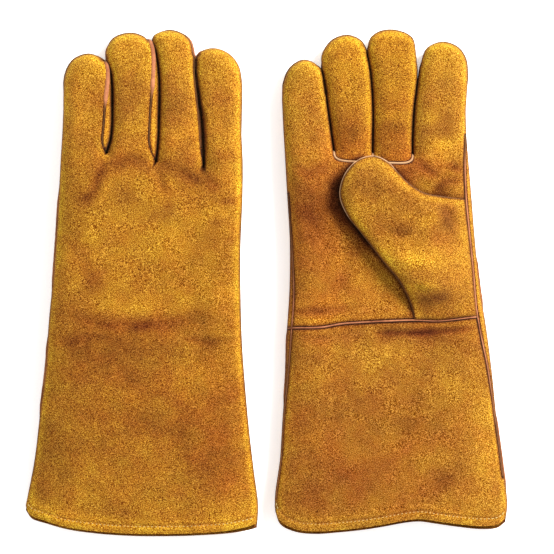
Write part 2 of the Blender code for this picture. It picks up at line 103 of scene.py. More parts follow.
# Each finger runs from one crotch to the next: up its thumb side, round its tip and down its other side.
GLOVES = {
    "right": {
        "z": 11.1,
        "up": 1,
        "inner_side": (
            (168.6, -168.0), (169.8, -156.9), (166.9, -132.2), (162.2, -96.9), (158.9, -64), (154.8, -32),
            (150.2, -3), (147.0, 28), (144.3, 62), (142.1, 88), (140.7, 106),
        ),
        "outer_side": (
            (10.6, 125), (11.4, 107.5), (12.6, 88), (14.1, 61.7), (15.9, 30), (15.7, -5.3), (14.0, -33.5),
            (13.2, -65.2), (10.8, -96.9), (9.0, -125.1), (5.6, -149.8), (5.3, -160.0),
        ),
        "hem": (
            (5.3, -160.0), (9.0, -170.0), (19.8, -175.6), (34, -177.2), (50, -176.2), (66, -174.6),
            (82, -172.2), (97, -169.4), (108, -168.4), (120, -170.0), (136, -172.2), (152, -173.6),
            (163.4, -172.4), (168.6, -168.0),
        ),
        "fingers": {
            "index": (
                (140.4, 121), (141.6, 146), (140.2, 158.8), (134.3, 166.8), (123.4, 170.2), (113.2, 166.3),
                (109.2, 157), (107.2, 144), (104.2, 121), (102.8, 100), (102.6, 91.3),
            ),
            "middle": (
                (102.6, 91.3), (102.5, 101), (103.2, 122), (105.4, 145), (105.3, 160), (102.0, 173.4),
                (87.3, 178.8), (73.8, 174.4), (71.2, 163), (73.4, 148), (75.4, 123), (74.9, 101),
                (74.4, 92),
            ),
            "ring": (
                (74.4, 92), (74.0, 101), (73.9, 122), (72.8, 146), (70.2, 161), (66.4, 170.8), (56.4, 175.0),
                (45.6, 171.3), (38.6, 161.5), (39.4, 147), (42.9, 124), (45.8, 104), (46.9, 93.4),
            ),
            "little": (
                (46.9, 93.4), (45.2, 104), (42.4, 124), (40.2, 143), (35.4, 153.6), (26.2, 157.6),
                (16.4, 152.4), (11.2, 140.5), (10.4, 130), (10.6, 125),
            ),
        },
    },
    "left": {
        "z": 31.2,
        "up": -1,
        "inner_side": (
            (-7.6, -171.8), (-6.9, -158.3), (-10.0, -132.2), (-13.2, -104), (-16.0, -72.3), (-18.0, -44.1),
            (-19.0, -12.3), (-19.2, 22.9), (-17.8, 58.2), (-17.5, 83), (-18.4, 104),
        ),
        "outer_side": (
            (-143.9, 123), (-144.2, 107.5), (-145.4, 82), (-147.5, 44), (-150.0, 8), (-153.4, -26.4),
            (-155.6, -58.2), (-160.3, -93.4), (-164.6, -126), (-169.8, -152), (-171.3, -159.5),
        ),
        "hem": (
            (-171.3, -159.5), (-167.6, -165.6), (-156.4, -169.9), (-142.2, -174.0), (-122, -176.9),
            (-100, -178.5), (-76, -178.9), (-50, -178.3), (-26, -176.4), (-11.5, -173.4), (-7.6, -171.8),
        ),
        "fingers": {
            "index": (
                (-18.0, 126), (-18.4, 144), (-21.0, 154.5), (-28.0, 162.6), (-38.8, 166.2), (-48.2, 162.8),
                (-50.9, 152), (-49.2, 138), (-46.6, 118), (-45.2, 100), (-44.6, 82.1),
            ),
            "middle": (
                (-44.6, 82.1), (-45.7, 99), (-47.2, 117), (-50.0, 139), (-51.9, 158), (-55.4, 172.4),
                (-69.4, 179.0), (-81.2, 174.6), (-78.6, 161), (-75.9, 143), (-76.0, 117), (-76.2, 100),
                (-78.2, 85),
            ),
            "ring": (
                (-78.2, 85), (-77.4, 100), (-76.9, 117), (-77.2, 141), (-79.0, 161), (-84.6, 171.8),
                (-97.0, 176.9), (-109.6, 173.0), (-114.6, 162.5), (-110.2, 148), (-109.0, 128), (-109.4, 102),
                (-113.2, 90.6),
            ),
            "little": (
                (-113.2, 90.6), (-110.6, 103), (-110.0, 128), (-112.0, 149), (-117.0, 157.8), (-126.6, 161.8),
                (-137.6, 157.8), (-143.0, 147.5), (-144.0, 134), (-143.9, 123),
            ),
        },
    },
}

# Seams of the right glove's palm. The left glove mirrors all but INNER_SEAM.
WRIST_SEAM = (
    (10, -33), (18, -32.2), (38, -31.6), (52, -29.2), (72, -27.8), (103, -26.6), (122, -27.0), (146, -24.4),
    (158, -24),
)
INNER_SEAM = (  # the welted seam down the thumb's side
    (140.0, 104), (139.4, 88), (140.0, 62), (142.2, 38), (145.4, 6), (147.4, -18), (149.8, -33), (155.8, -62),
    (160.7, -95), (163.9, -118), (166.4, -138),
)
THUMB_EDGE = (
    (104, -26.6), (101.9, -17.3), (94.1, -1.1), (80.7, 15.9), (65.9, 34.9), (56.4, 47.2), (51.0, 61.5),
    (54.4, 75.5), (63.4, 85.6), (74.6, 88.8), (84.2, 84.6), (91.4, 77.2), (99.5, 69.2), (110.5, 62.6),
    (124, 60.2), (139.4, 58.4),
)
THUMB_SIDE = ((139.4, 58.4), (141.6, 40.5), (143.6, 22.9), (145.6, 6), (147.2, -12.3), (148.6, -24.2))
THUMB_ROOT = ((103.1, -24.9), (136.6, 60.6))


def smooth(points, step=SEAM_STEP):
    """A smooth curve through points of an outline or seam, as row frame points about step apart."""
    p = np.array(points, float) - ORIGIN
    p = np.vstack([2 * p[0] - p[1], p, 2 * p[-1] - p[-2]])
    fine = []
    for i in range(1, len(p) - 2):
        a, b, c, d = p[i - 1 : i + 3]
        t = np.linspace(0, 1, 24, endpoint=False)[:, None]
        t1 = np.sqrt(np.linalg.norm(b - a)) + 1e-9
        t2 = np.sqrt(np.linalg.norm(c - b)) + 1e-9
        t3 = np.sqrt(np.linalg.norm(d - c)) + 1e-9
        m1 = ((c - b) / t2 - (c - a) / (t1 + t2) + (b - a) / t1) * t2
        m2 = ((d - c) / t3 - (d - b) / (t2 + t3) + (c - b) / t2) * t2
        fine.append(
            (2 * t**3 - 3 * t**2 + 1) * b + (t**3 - 2 * t**2 + t) * m1
            + (3 * t**2 - 2 * t**3) * c + (t**3 - t**2) * m2
        )
    fine = np.vstack(fine + [p[-2][None]])
    return respace(fine, step)


def respace(line, step):
    """The same line with its points evenly spaced, about step apart."""
    along = np.concatenate([[0], np.cumsum(np.linalg.norm(np.diff(line, axis=0), axis=1))])
    count = max(2, int(round(along[-1] / step)) + 1)
    at = np.linspace(0, along[-1], count)
    return np.stack([np.interp(at, along, line[:, k]) for k in range(line.shape[1])], axis=1)


def nearest_index(points, line):
    """The index of the line's point that lies nearest to each point."""
    tree = KDTree(len(line))
    for i, (x, y) in enumerate(line):
        tree.insert((x, y, 0), i)
    tree.balance()
    return np.array([tree.find((x, y, 0))[1] for x, y in points])


def distance(points, line):
    """Each point's distance to a line whose own points are close together."""
    nearest = nearest_index(points, line)
    best = np.linalg.norm(points - line[nearest], axis=1)
    for first in (np.maximum(nearest - 1, 0), np.minimum(nearest, len(line) - 2)):
        a, b = line[first], line[first + 1]
        along = b - a
        share = ((points - a) * along).sum(axis=1) / np.maximum((along**2).sum(axis=1), 1e-12)
        foot = a + along * np.clip(share, 0, 1)[:, None]
        best = np.minimum(best, np.linalg.norm(points - foot, axis=1))
    return best


def inside(points, polygon):
    """Whether each point lies inside the closed polygon."""
    x, y = points[:, 0], points[:, 1]
    result = np.zeros(len(points), bool)
    for (x1, y1), (x2, y2) in zip(polygon, np.roll(polygon, -1, axis=0)):
        crosses = (y1 > y) != (y2 > y)
        if crosses.any():
            at = x1 + (y - y1) * (x2 - x1) / (y2 - y1 if y2 != y1 else 1e-9)
            result ^= crosses & (x < at)
    return result


def ease(value, low, high):
    """0 below low, 1 above high, and smooth in between."""
    t = np.clip((value - low) / (high - low), 0, 1)
    return t * t * (3 - 2 * t)


def bell(value, middle, reach):
    """1 where value is at the middle, falling away smoothly on both sides."""
    return np.exp(-(((value - middle) / reach) ** 2))


def closed(line):
    """The line with its first point repeated at its end."""
    return np.vstack([line, line[:1]])


def across_at(y, step):
    """A straight line across both gloves at one Y."""
    x = np.arange(-200, 200, step)
    return np.column_stack([x, np.full(len(x), y)])


def rounding(d, radius, squareness=2.3):
    """The share of its full height that a sheet has at d from its edge."""
    u = np.clip(1 - d / radius, 0, 1)
    return np.maximum(1 - u**squareness, 0) ** (1 / squareness)


def waves(points, scale, seed):
    """Smooth noise from about -1 to 1 at each point, with waves about scale long."""
    return np.array([noise.noise((x / scale, y / scale, seed)) for x, y in points])


class Glove:
    """One glove's outline and seams, sampled finely."""

    def __init__(self, side):
        data = GLOVES[side]
        self.side = side
        self.z, self.up = data["z"], data["up"]
        inner, outer = smooth(data["inner_side"]), smooth(data["outer_side"])
        self.finger_lines = {name: smooth(data["fingers"][name]) for name in FINGERS}
        self.close_gaps()
        self.hem = smooth(data["hem"])
        first = smooth((data["inner_side"][-1], data["fingers"]["index"][0]))
        self.sewn = np.vstack([inner, first] + [self.finger_lines[name] for name in FINGERS] + [outer])
        self.outline = respace(np.vstack([self.sewn, self.hem, self.sewn[:1]]), OUTLINE_STEP)[:-1]
        self.crotches = [np.array(data["fingers"][name][-1]) - ORIGIN for name in FINGERS[:3]]
        self.wrist_seam = smooth(self.place(WRIST_SEAM))
        self.inner_seam = smooth(INNER_SEAM) if side == "right" else inner[inner[:, 1] > -80] - (3.2, 0)
        meets = self.inner_seam[np.abs(self.inner_seam[:, 1] - WRIST_Y).argmin(), 0]
        self.seen_wrist_seam = self.wrist_seam[self.wrist_seam[:, 0] < meets]
        self.inner_edge = inner
        self.outer_edge = outer
        beside = outer[(outer[:, 1] < 62) & (outer[:, 1] > -155)]
        y = beside[:, 1]
        inset = 0.6 + 2.6 * bell(y, -22, 42) * ease(-y, -60, -20)
        self.outer_seam = beside + np.outer(inset, (1, 0))
        root = self.place(THUMB_ROOT) - ORIGIN
        along = (root[1] - root[0]) / np.linalg.norm(root[1] - root[0])
        self.root = root[0]
        self.towards_tip = np.array([-along[1], along[0]])
        self.hem_stitching = self.hem + (0, HEM_TO_STITCHING)
        self.crevices = self.find_crevices()

    def close_gaps(self):
        """Lays neighbouring fingers against each other where they nearly touch."""
        seam, narrow, wide = 0.3, 1.6, 3.4
        moved = {}
        for name, line in self.finger_lines.items():
            others = np.vstack([other for label, other in self.finger_lines.items() if label != name])
            gaps = line[:, None, :] - others[None, :, :]
            lengths = np.sqrt((gaps**2).sum(axis=2))
            nearest = lengths.argmin(axis=1)
            gap = lengths.min(axis=1)
            pull = np.maximum(gap - seam, 0) / 2 * (1 - ease(gap, narrow, wide)) / np.maximum(gap, 1e-6)
            moved[name] = line + (others[nearest] - line) * pull[:, None]
        self.finger_lines = moved

    def find_crevices(self):
        """The stretches of the finger outlines that lie close to the next finger."""
        close_by = 3.2
        runs = []
        for name, line in self.finger_lines.items():
            others = [other for label, other in self.finger_lines.items() if label != name]
            gap = np.min([distance(line, other) for other in others], axis=0)
            close = np.concatenate([[False], gap < close_by, [False]])
            starts = np.flatnonzero(~close[:-1] & close[1:])
            ends = np.flatnonzero(close[:-1] & ~close[1:])
            runs += [line[a:b] for a, b in zip(starts, ends) if b - a > 2]
        return runs

    def place(self, points):
        """Where this glove has the palm details that are given for the right glove."""
        p = np.array(points, float)
        if self.side == "right":
            return p
        return np.stack([p[:, 0] * MIRRORED_SCALE + MIRRORED_SHIFT, p[:, 1]], axis=1)

    def base_line(self, name):
        """The seam across a finger's base, from crotch to crotch, hanging towards the palm."""
        i = FINGERS.index(name)
        right, left = self.crotches[i - 1], self.crotches[i]
        turn = np.linspace(0, pi, 61)
        t = (1 - np.sign(np.cos(turn)) * np.abs(np.cos(turn)) ** BASE_SQUARENESS) / 2
        sag = BASE_SAG * np.sin(turn) ** BASE_SQUARENESS
        straight = left + (right - left) * t[:, None]
        return respace(straight - np.outer(sag, (0, 1)), SEAM_STEP)

    def side_strip(self, name):
        """The seam between a finger's back and the strip along its thumb side, up to near the tip."""
        line = self.finger_lines[name]
        edge = line[: line[:, 1].argmax() + 1]
        below_tip = 4.5
        edge = respace(edge[edge[:, 1] < edge[:, 1].max() - below_tip], SEAM_STEP)
        share = np.linspace(0, 1, len(edge))
        width = STRIP[name] * np.sqrt(ease(share, 0, 0.2)) * (1 - share**2.5)
        return (edge - np.outer(width, (1, 0)))[2:]

    def finger_at(self, points):
        """The index in FINGERS of each point's finger: the one in whose outline it lies deepest."""
        beyond = 50  # how far the outer fingers' areas reach past the glove's sides
        depths = []
        for name in FINGERS:
            line = self.finger_lines[name]
            start, end = line[0], line[-1]
            below = [(end[0], 0), (start[0], 0)]
            if name == "index":
                below = [(end[0], 0), (start[0] + beyond, 0), (start[0] + beyond, start[1])]
            if name == "little":
                below = [(end[0] - beyond, end[1]), (end[0] - beyond, 0), (start[0], 0)]
            held = inside(points, np.vstack([line, below]))
            gap = distance(points, line)
            depths.append(np.where(held, gap, -gap))
        return np.argmax(depths, axis=0)

    def droop(self, points):
        """How far the glove lies towards the palm's side."""
        if self.side == "right":
            return np.zeros(len(points))
        y = points[:, 1]
        cuff = CUFF_DROOP * ease(-(y - WRIST_Y), 0, CUFF_LENGTH)
        bend = 8
        ahead = (np.sqrt((y - KNUCKLE_Y) ** 2 + bend**2) + (y - KNUCKLE_Y)) / 2
        return cuff + ahead * FINGER_DROOP / FINGER_LENGTH * ease(y, 70, 92)

    def world(self, points, height):
        """World positions, in millimetres, of points at a height towards the palm."""
        above_floor = 0.05
        z = self.z + self.up * (height + self.droop(points))
        return np.column_stack([points, np.maximum(z, above_floor)])


# ---------------------------------------------------------------------------------------- heights


def full_height(sheet, y):
    """A sheet's height in the middle of the glove."""
    if sheet == "back":
        return np.full(len(y), BACK_RISE)
    return PALM_RISE + (FINGER_RISE - PALM_RISE) * ease(y, 70, 108)


def share_of_height(sheet, y, d, inset=0.0):
    """The share of its full height that a sheet has at d from the sewn edge. The gauntlet is lens-shaped."""
    to_hem = ease(-y, 20, 150)
    radius = FINGER_ROUNDING[sheet] + HAND_ROUNDING * (1 - ease(y, 60, 96)) + CUFF_ROUNDING * to_hem
    return rounding((d - inset) / (radius - inset / 2), 1.0, 2.2 - 0.25 * to_hem)


def groove(points, line, depth, width):
    """A furrow along a line."""
    return -depth * bell(distance(points, line), 0, width)


def fading(points, line):
    """1 beside the middle of a line, falling to 0 at its ends."""
    return np.sin(pi * (nearest_index(points, line) + 0.5) / len(line)) ** 0.6


def puff(points, line, height, near, far):
    """The leather standing up beside a seam."""
    return height * bell(distance(points, line), near, far)


# Each crease has its line, its depth and its width.
CREASES = {
    ("left", "back"): (
        (((-128, 84), (-110, 82), (-94, 84), (-78, 82), (-62, 80)), 0.7, 4.0),
        (((-62, 78), (-52, 73), (-44, 72)), 0.9, 3.5),
        (((-113.6, 88), (-117, 76), (-123, 62), (-133, 53)), 1.2, 3.0),
        (((-78, 80), (-75, 70), (-70, 62)), 0.7, 2.6),
        (((-44, 78), (-40, 70), (-33, 64)), 0.7, 2.4),
        (((-48.6, 134), (-45.6, 116), (-44.2, 99), (-44.4, 84)), 3.0, 1.2),
        (((-150, -22), (-120, -28), (-84, -30), (-50, -26), (-22, -30)), 0.9, 4.0),
        (((-150, -42), (-124, -38), (-100, -41)), 0.6, 3.0),
        (((-60, -38), (-40, -42), (-20, -40)), 0.6, 2.6),
        (((-42, 60), (-32, 56), (-20, 58)), 0.5, 2.0),
        (((-138, 30), (-128, 10), (-124, -10)), 0.5, 6.0),
    ),
    ("right", "front"): (
        (((18, 84), (28, 78), (44, 80)), 0.8, 3.2),
        (((103, 88), (112, 80), (122, 75)), 1.1, 2.4),
        (((127, 85), (133, 80), (139, 79)), 0.8, 1.8),
        (((116, 65), (126, 71), (137, 72)), 0.9, 1.9),
        (((24, 60), (36, 40), (42, 18)), 0.7, 5.0),
        (((60, 24), (54, 4), (46, -14)), 0.6, 4.0),
        (((118, -20), (130, -8), (140, 4)), 0.6, 3.0),
        (((76, -36), (104, -35.5), (126, -34), (149, -31.5)), 1.5, 2.0),
        (((20, -39), (44, -40), (70, -37)), 0.5, 2.5),
        (((16, -21), (36, -20), (60, -17)), 0.9, 2.2),
    ),
}


def relief(glove, sheet, points, d):
    """Wrinkles, waves and creases of a sheet, without its seams."""
    seed = {"front": 3.1, "back": 7.7}[sheet] + {"left": 11.3, "right": 0}[glove.side]
    soft = ease(d, 1.0, 9.0)
    z = 0.75 * waves(points, 34, seed) * soft
    z += 0.32 * waves(points, 13, seed + 5) * soft
    z += 0.12 * waves(points, 5.0, seed + 9) * ease(d, 0.5, 3.0)
    for line, depth, width in CREASES.get((glove.side, sheet), ()):
        track = smooth(line, 1.0)
        wander = 1.6 * waves(points, 11, seed + 2)[:, None]
        fade = fading(points, track)
        z += fade * groove(points + wander, track, depth, width)
        z += fade * puff(points + wander, track, depth * 0.35, width * 1.7, width)
    return z


# ---------------------------------------------------------------------------------------- meshes


ROW_SHARE = 0.866  # distance between the rows of a triangular grid, in its spacings


def spread(outline, splits, seams, spacing, rings):
    """Points and triangles over the outline, closer together near its edge and near the seams.

    splits are lines that the triangles' edges follow, so that the sheet can be cut there. rings are the
    distances of the rows of points inside the edge.
    """
    centre_gap = np.roll(outline, -1, axis=0) - np.roll(outline, 1, axis=0)
    normal = np.column_stack([-centre_gap[:, 1], centre_gap[:, 0]])
    normal /= np.linalg.norm(normal, axis=1)[:, None]
    area = (outline[:, 0] * np.roll(outline[:, 1], -1) - np.roll(outline[:, 0], -1) * outline[:, 1]).sum()
    if area < 0:
        normal = -normal
    edge = respace(closed(outline), SEAM_STEP)
    extra = []
    for k, ring in enumerate(rings):
        moved = outline + normal * ring
        if k % 2:
            moved = (moved + np.roll(moved, -1, axis=0)) / 2
        extra.append(moved[(distance(moved, edge) > ring * 0.82) & inside(moved, outline)])
    beside_seam = {0.45: 2, 1.0: 2, 1.9: 3}  # each row's distance, and which of the seam's points it follows
    for line in seams:
        step = np.gradient(line, axis=0)
        across = np.column_stack([-step[:, 1], step[:, 0]]) / np.linalg.norm(step, axis=1)[:, None]
        for off, every in beside_seam.items():
            for sign in (-1, 1):
                moved = (line + across * off * sign)[::every]
                moved = moved[inside(moved, outline)]
                extra.append(moved[distance(moved, edge) > min(beside_seam)])
    low, high = outline.min(axis=0), outline.max(axis=0)
    rows = np.arange(low[1], high[1], spacing * ROW_SHARE)
    grid = []
    for k, y in enumerate(rows):
        x = np.arange(low[0] + (k % 2) * spacing / 2, high[0], spacing)
        grid.append(np.column_stack([x, np.full(len(x), y)]))
    grid = np.vstack(grid)
    grid = grid[inside(grid, outline)]
    grid = grid[distance(grid, edge) > rings[-1] + spacing * 0.45]
    for line in seams:
        grid = grid[distance(grid, line) > max(beside_seam) + 0.5]
    extra.append(grid)
    points = [tuple(p) for p in outline]
    edges = [(i, (i + 1) % len(outline)) for i in range(len(outline))]
    for line in splits:
        start = len(points)
        points += [tuple(p) for p in line[::2]]
        edges += [(i, i + 1) for i in range(start, len(points) - 1)]
    extra = np.vstack(extra)
    for line in splits:
        extra = extra[distance(extra, line) > 0.33]
    cells, kept, apart = set(), [], 0.3
    for p in extra:
        cell = (round(p[0] / apart), round(p[1] / apart))
        if cell not in cells:
            cells.add(cell)
            kept.append(tuple(p))
    points += kept
    out = delaunay_2d_cdt([Vector(p) for p in points], edges, [], 0, 1e-4)
    verts = np.array([tuple(v) for v in out[0]])
    faces = np.array(out[2])
    middles = verts[faces].mean(axis=1)
    faces = faces[inside(middles, outline)]
    a, b, c = verts[faces[:, 0]], verts[faces[:, 1]], verts[faces[:, 2]]
    turn = (b[:, 0] - a[:, 0]) * (c[:, 1] - a[:, 1]) - (b[:, 1] - a[:, 1]) * (c[:, 0] - a[:, 0])
    faces = np.where((turn < 0)[:, None], faces[:, ::-1], faces)
    return verts, faces[np.abs(turn) > 1e-4]


def vertex_normals(verts, faces):
    a, b, c = verts[faces[:, 0]], verts[faces[:, 1]], verts[faces[:, 2]]
    face = np.cross(b - a, c - a)
    out = np.zeros_like(verts)
    for k in range(3):
        np.add.at(out, faces[:, k], face)
    return out / np.maximum(np.linalg.norm(out, axis=1), 1e-12)[:, None]


def rim_edges(faces):
    """Directed edges that only one face has."""
    edges = np.vstack([faces[:, [0, 1]], faces[:, [1, 2]], faces[:, [2, 0]]])
    have = set(map(tuple, edges))
    return np.array([e for e in have if (e[1], e[0]) not in have])


def solid_sheet(name, verts, normals, faces, thickness, fields, finish):
    """A mesh object of the faces of a sheet, with its thickness on the inner side. verts are millimetres.

    thickness is one number or a number for each vertex. fields are values for the material, for each vertex.
    """
    used, local = np.unique(faces, return_inverse=True)
    faces = local.reshape(faces.shape)
    outer, out_normals = verts[used], normals[used]
    thick = thickness[used] if np.ndim(thickness) else thickness
    inner = outer - out_normals * np.reshape(thick, (-1, 1))
    above_floor = 0.02
    inner[:, 2] = np.maximum(inner[:, 2], above_floor)
    n = len(used)
    rim = rim_edges(faces)
    rim = rim[np.lexsort((rim[:, 1], rim[:, 0]))]
    all_verts = np.vstack([outer, inner]) * MM
    triangles = np.vstack([faces, faces[:, ::-1] + n])
    quads = np.column_stack([rim[:, 1], rim[:, 0], rim[:, 0] + n, rim[:, 1] + n])
    loops = np.concatenate([triangles.ravel(), quads.ravel()])
    sizes = np.concatenate([np.full(len(triangles), 3), np.full(len(quads), 4)])
    mesh = bpy.data.meshes.new(name)
    mesh.vertices.add(len(all_verts))
    mesh.vertices.foreach_set("co", all_verts.astype(np.float32).ravel())
    mesh.loops.add(len(loops))
    mesh.loops.foreach_set("vertex_index", loops.astype(np.int32))
    mesh.polygons.add(len(sizes))
    starts = np.concatenate([[0], np.cumsum(sizes)[:-1]])
    mesh.polygons.foreach_set("loop_start", starts.astype(np.int32))
    mesh.update(calc_edges=True)
    mesh.shade_smooth()
    q = all_verts[quads]
    rim_normals = np.cross(q[:, 2] - q[:, 0], q[:, 3] - q[:, 1])
    rim_normals /= np.maximum(np.linalg.norm(rim_normals, axis=1), 1e-12)[:, None]
    face_normals = np.vstack([out_normals, -out_normals])[triangles.ravel()]
    mesh.normals_split_custom_set(np.vstack([face_normals, np.repeat(rim_normals, 4, axis=0)]))
    for field, values in fields.items():
        layer = mesh.attributes.new(field, "FLOAT", "POINT")
        layer.data.foreach_set("value", np.tile(values[used], 2).astype(np.float32))
    keep_rest(mesh, np.vstack([outer, inner]))
    mesh.materials.append(finish)
    return link(name, mesh)


def keep_rest(mesh, corners):
    """Stores where each corner lies at rest, in centimetres, for the grain of the materials."""
    layer = mesh.attributes.new("rest", "FLOAT_VECTOR", "POINT")
    layer.data.foreach_set("vector", (corners / 10).astype(np.float32).ravel())


def link(name, data):
    made = bpy.data.objects.new(name, data)
    bpy.context.scene.collection.objects.link(made)
    return made


CORD_END = 0.45  # the share of its radius that a cord has at its ends


def cords(name, lines, radius, finish, tone=None, sides=8, wobble=0.12):
    """Closed cords along lines of world points in millimetres, a little uneven, with narrowed ends.

    radius is one number or, for a single line, a number for each of its points. tone, given in the same way,
    is how much of its own colour the cord shows, from 0 to 1; the rest is a near-black painted shade.
    """
    verts, faces = [], []
    turn = np.arange(sides) * 2 * pi / sides
    for line in lines:
        line = np.array(line, float)
        steps = np.gradient(line, axis=0)
        steps /= np.maximum(np.linalg.norm(steps, axis=1), 1e-9)[:, None]
        across = np.cross(steps, (0, 0, 1))
        across /= np.maximum(np.linalg.norm(across, axis=1), 1e-9)[:, None]
        rise = np.cross(across, steps)
        first, last = len(verts) * sides, len(line) - 1
        for i, point in enumerate(line):
            r = radius[i] if np.ndim(radius) else radius
            r *= 1 + wobble * noise.noise((point[0] / 2.5, point[1] / 2.5, point[2]))
            if i in (0, last):
                r *= CORD_END
            circle = np.cos(turn)[:, None] * across[i] + np.sin(turn)[:, None] * rise[i]
            verts.append(point + r * circle)
        for i in range(last):
            for k in range(sides):
                a, b = first + i * sides + k, first + i * sides + (k + 1) % sides
                faces.append((a, b, b + sides, a + sides))
        faces.append(tuple(first + k for k in range(sides))[::-1])
        faces.append(tuple(first + last * sides + k for k in range(sides)))
    corners = np.vstack(verts)
    mesh = bpy.data.meshes.new(name)
    mesh.from_pydata((corners * MM).tolist(), [], faces)
    mesh.shade_smooth()
    keep_rest(mesh, corners)
    tones = np.repeat(np.broadcast_to(1.0 if tone is None else tone, len(verts)), sides)
    layer = mesh.attributes.new("tone", "FLOAT", "POINT")
    layer.data.foreach_set("value", tones.astype(np.float32))
    mesh.materials.append(finish)
    return link(name, mesh)


# ---------------------------------------------------------------------------------------- materials


class Nodes:
    """A material's node tree, with short ways to add and join nodes."""

    def __init__(self, name):
        self.material = bpy.data.materials.new(name)
        self.material.use_nodes = True
        self.tree = self.material.node_tree
        self.tree.nodes.clear()
        out = self.add("ShaderNodeOutputMaterial")
        self.shader = self.add("ShaderNodeBsdfPrincipled")
        self.join(self.shader.outputs[0], out.inputs[0])

    def add(self, kind, **values):
        node = self.tree.nodes.new(kind)
        for key, value in values.items():
            setattr(node, key, value)
        return node

    def join(self, a, b):
        self.tree.links.new(a, b)

    def attribute(self, name, vector=False):
        node = self.add("ShaderNodeAttribute", attribute_name=name)
        return node.outputs["Vector" if vector else "Fac"]

    def noise(self, where, size, detail=3.0, rough=0.55):
        """Noise from 0 to 1 with features about size millimetres across."""
        node = self.add("ShaderNodeTexNoise")
        node.inputs["Scale"].default_value = 10 / size
        node.inputs["Detail"].default_value = detail
        node.inputs["Roughness"].default_value = rough
        self.join(where, node.inputs["Vector"])
        return node.outputs[0]

    def math(self, how, a, b, c=None, clamp=False):
        node = self.add("ShaderNodeMath", operation=how, use_clamp=clamp)
        for socket, value in zip(node.inputs, (a, b, c)):
            if value is None:
                continue
            if isinstance(value, (int, float)):
                socket.default_value = value
            else:
                self.join(value, socket)
        return node.outputs[0]

    def ramp(self, value, stops):
        node = self.add("ShaderNodeValToRGB")
        ramp = node.color_ramp
        for k, (at, colour) in enumerate(stops):
            stop = ramp.elements[k] if k < 2 else ramp.elements.new(at)
            stop.position = at
            stop.color = (*colour, 1)
        self.join(value, node.inputs[0])
        return node.outputs[0]

    def tinted(self, colour, tint, share=1.0):
        """The colour multiplied by a tint, as far as share says."""
        node = self.add("ShaderNodeMix", data_type="RGBA", blend_type="MULTIPLY")
        if isinstance(share, float):
            node.inputs[0].default_value = share
        else:
            self.join(share, node.inputs[0])
        self.join(colour, node.inputs[6])
        node.inputs[7].default_value = (*tint, 1)
        return node.outputs[2]

    def bump(self, height, distance_mm, strength=1.0, before=None):
        node = self.add("ShaderNodeBump")
        node.inputs["Distance"].default_value = distance_mm * MM
        node.inputs["Strength"].default_value = strength
        self.join(height, node.inputs["Height"])
        if before is not None:
            self.join(before, node.inputs["Normal"])
        return node.outputs[0]

    def vector(self, how, *values):
        """A vector sum of sockets or of constants."""
        node = self.add("ShaderNodeVectorMath", operation=how)
        for socket, value in zip(node.inputs, values):
            if isinstance(value, tuple):
                socket.default_value = value
            else:
                self.join(value, socket)
        return node.outputs[0]

    def finish(self, colour, normal, roughness, sheen, specular=0.15):
        self.join(colour, self.shader.inputs["Base Color"])
        self.join(normal, self.shader.inputs["Normal"])
        self.shader.inputs["Roughness"].default_value = roughness
        self.shader.inputs["Specular IOR Level"].default_value = specular
        self.shader.inputs["Sheen Weight"].default_value = sheen
        self.shader.inputs["Sheen Roughness"].default_value = 0.6
        self.shader.inputs["Sheen Tint"].default_value = (1, 0.8, 0.45, 1)
        return self.material


SUEDE_STOPS = (
    (0.0, (0.008, 0.002, 0.0004)),
    (0.2, (0.076, 0.021, 0.0015)),
    (0.42, (0.187, 0.070, 0.0036)),
    (0.66, (0.288, 0.131, 0.0050)),
    (1.0, (0.46, 0.27, 0.0080)),
)


def suede(name, tint, base, seed):
    """Brushed split leather: blotches and a coarse nap, with painted shade and painted highlights in its
    colour.
    """
    n = Nodes(name)
    where = n.vector("ADD", n.attribute("rest", vector=True), (seed, seed * 0.7, 0))
    specks = n.noise(where, 3.0, 2.0, 0.6)
    grain = n.noise(where, 1.5, 1.0, 0.6)
    fine = n.noise(where, 0.5, 0.0, 0.5)
    level = n.math("MULTIPLY_ADD", n.noise(where, 38, 1.0), 0.36, base - 0.18)
    for layer, amount in ((n.noise(where, 13, 2.0), 0.32), (specks, 0.08), (grain, 0.03)):
        level = n.math("ADD", level, n.math("MULTIPLY_ADD", layer, amount, -amount / 2))
    # Painted highlight: brighter along the sewn edges, in highlight patches, towards the fingertips and at
    # the hem
    level = n.math("ADD", level, n.math("MULTIPLY", n.attribute("edge"), 0.27))
    # Painted shade: darker in seams, crevices, creases and the thumb's hollow, and in darker patches that are
    # partly stains
    level = n.math("SUBTRACT", level, n.math("MULTIPLY", n.attribute("seam"), 0.62), clamp=True)
    colour = n.ramp(level, SUEDE_STOPS)
    rusty = n.math("MULTIPLY_ADD", n.noise(where, 17, 2.0), 1.7, -0.75)
    redder = n.math("ADD", n.attribute("warm"), rusty, clamp=True)
    warm = n.tinted(colour, (1.0, 0.74, 0.9), redder)
    dots = n.math("MULTIPLY_ADD", fine, 4.8, -2.4)
    fibres = n.vector("MULTIPLY_ADD", dots, (0.9, 1.45, 5.5), (0.98, 0.96, 1.2))
    fibres = n.vector("MAXIMUM", fibres, (0.3, 0.22, 0.05))
    speckled = n.vector("MULTIPLY", n.tinted(warm, tint), fibres)
    normal = n.bump(specks, 0.3, 0.5)
    normal = n.bump(grain, 0.2, 0.6, normal)
    return n.finish(speckled, normal, 0.95, 0.03, specular=0.06)


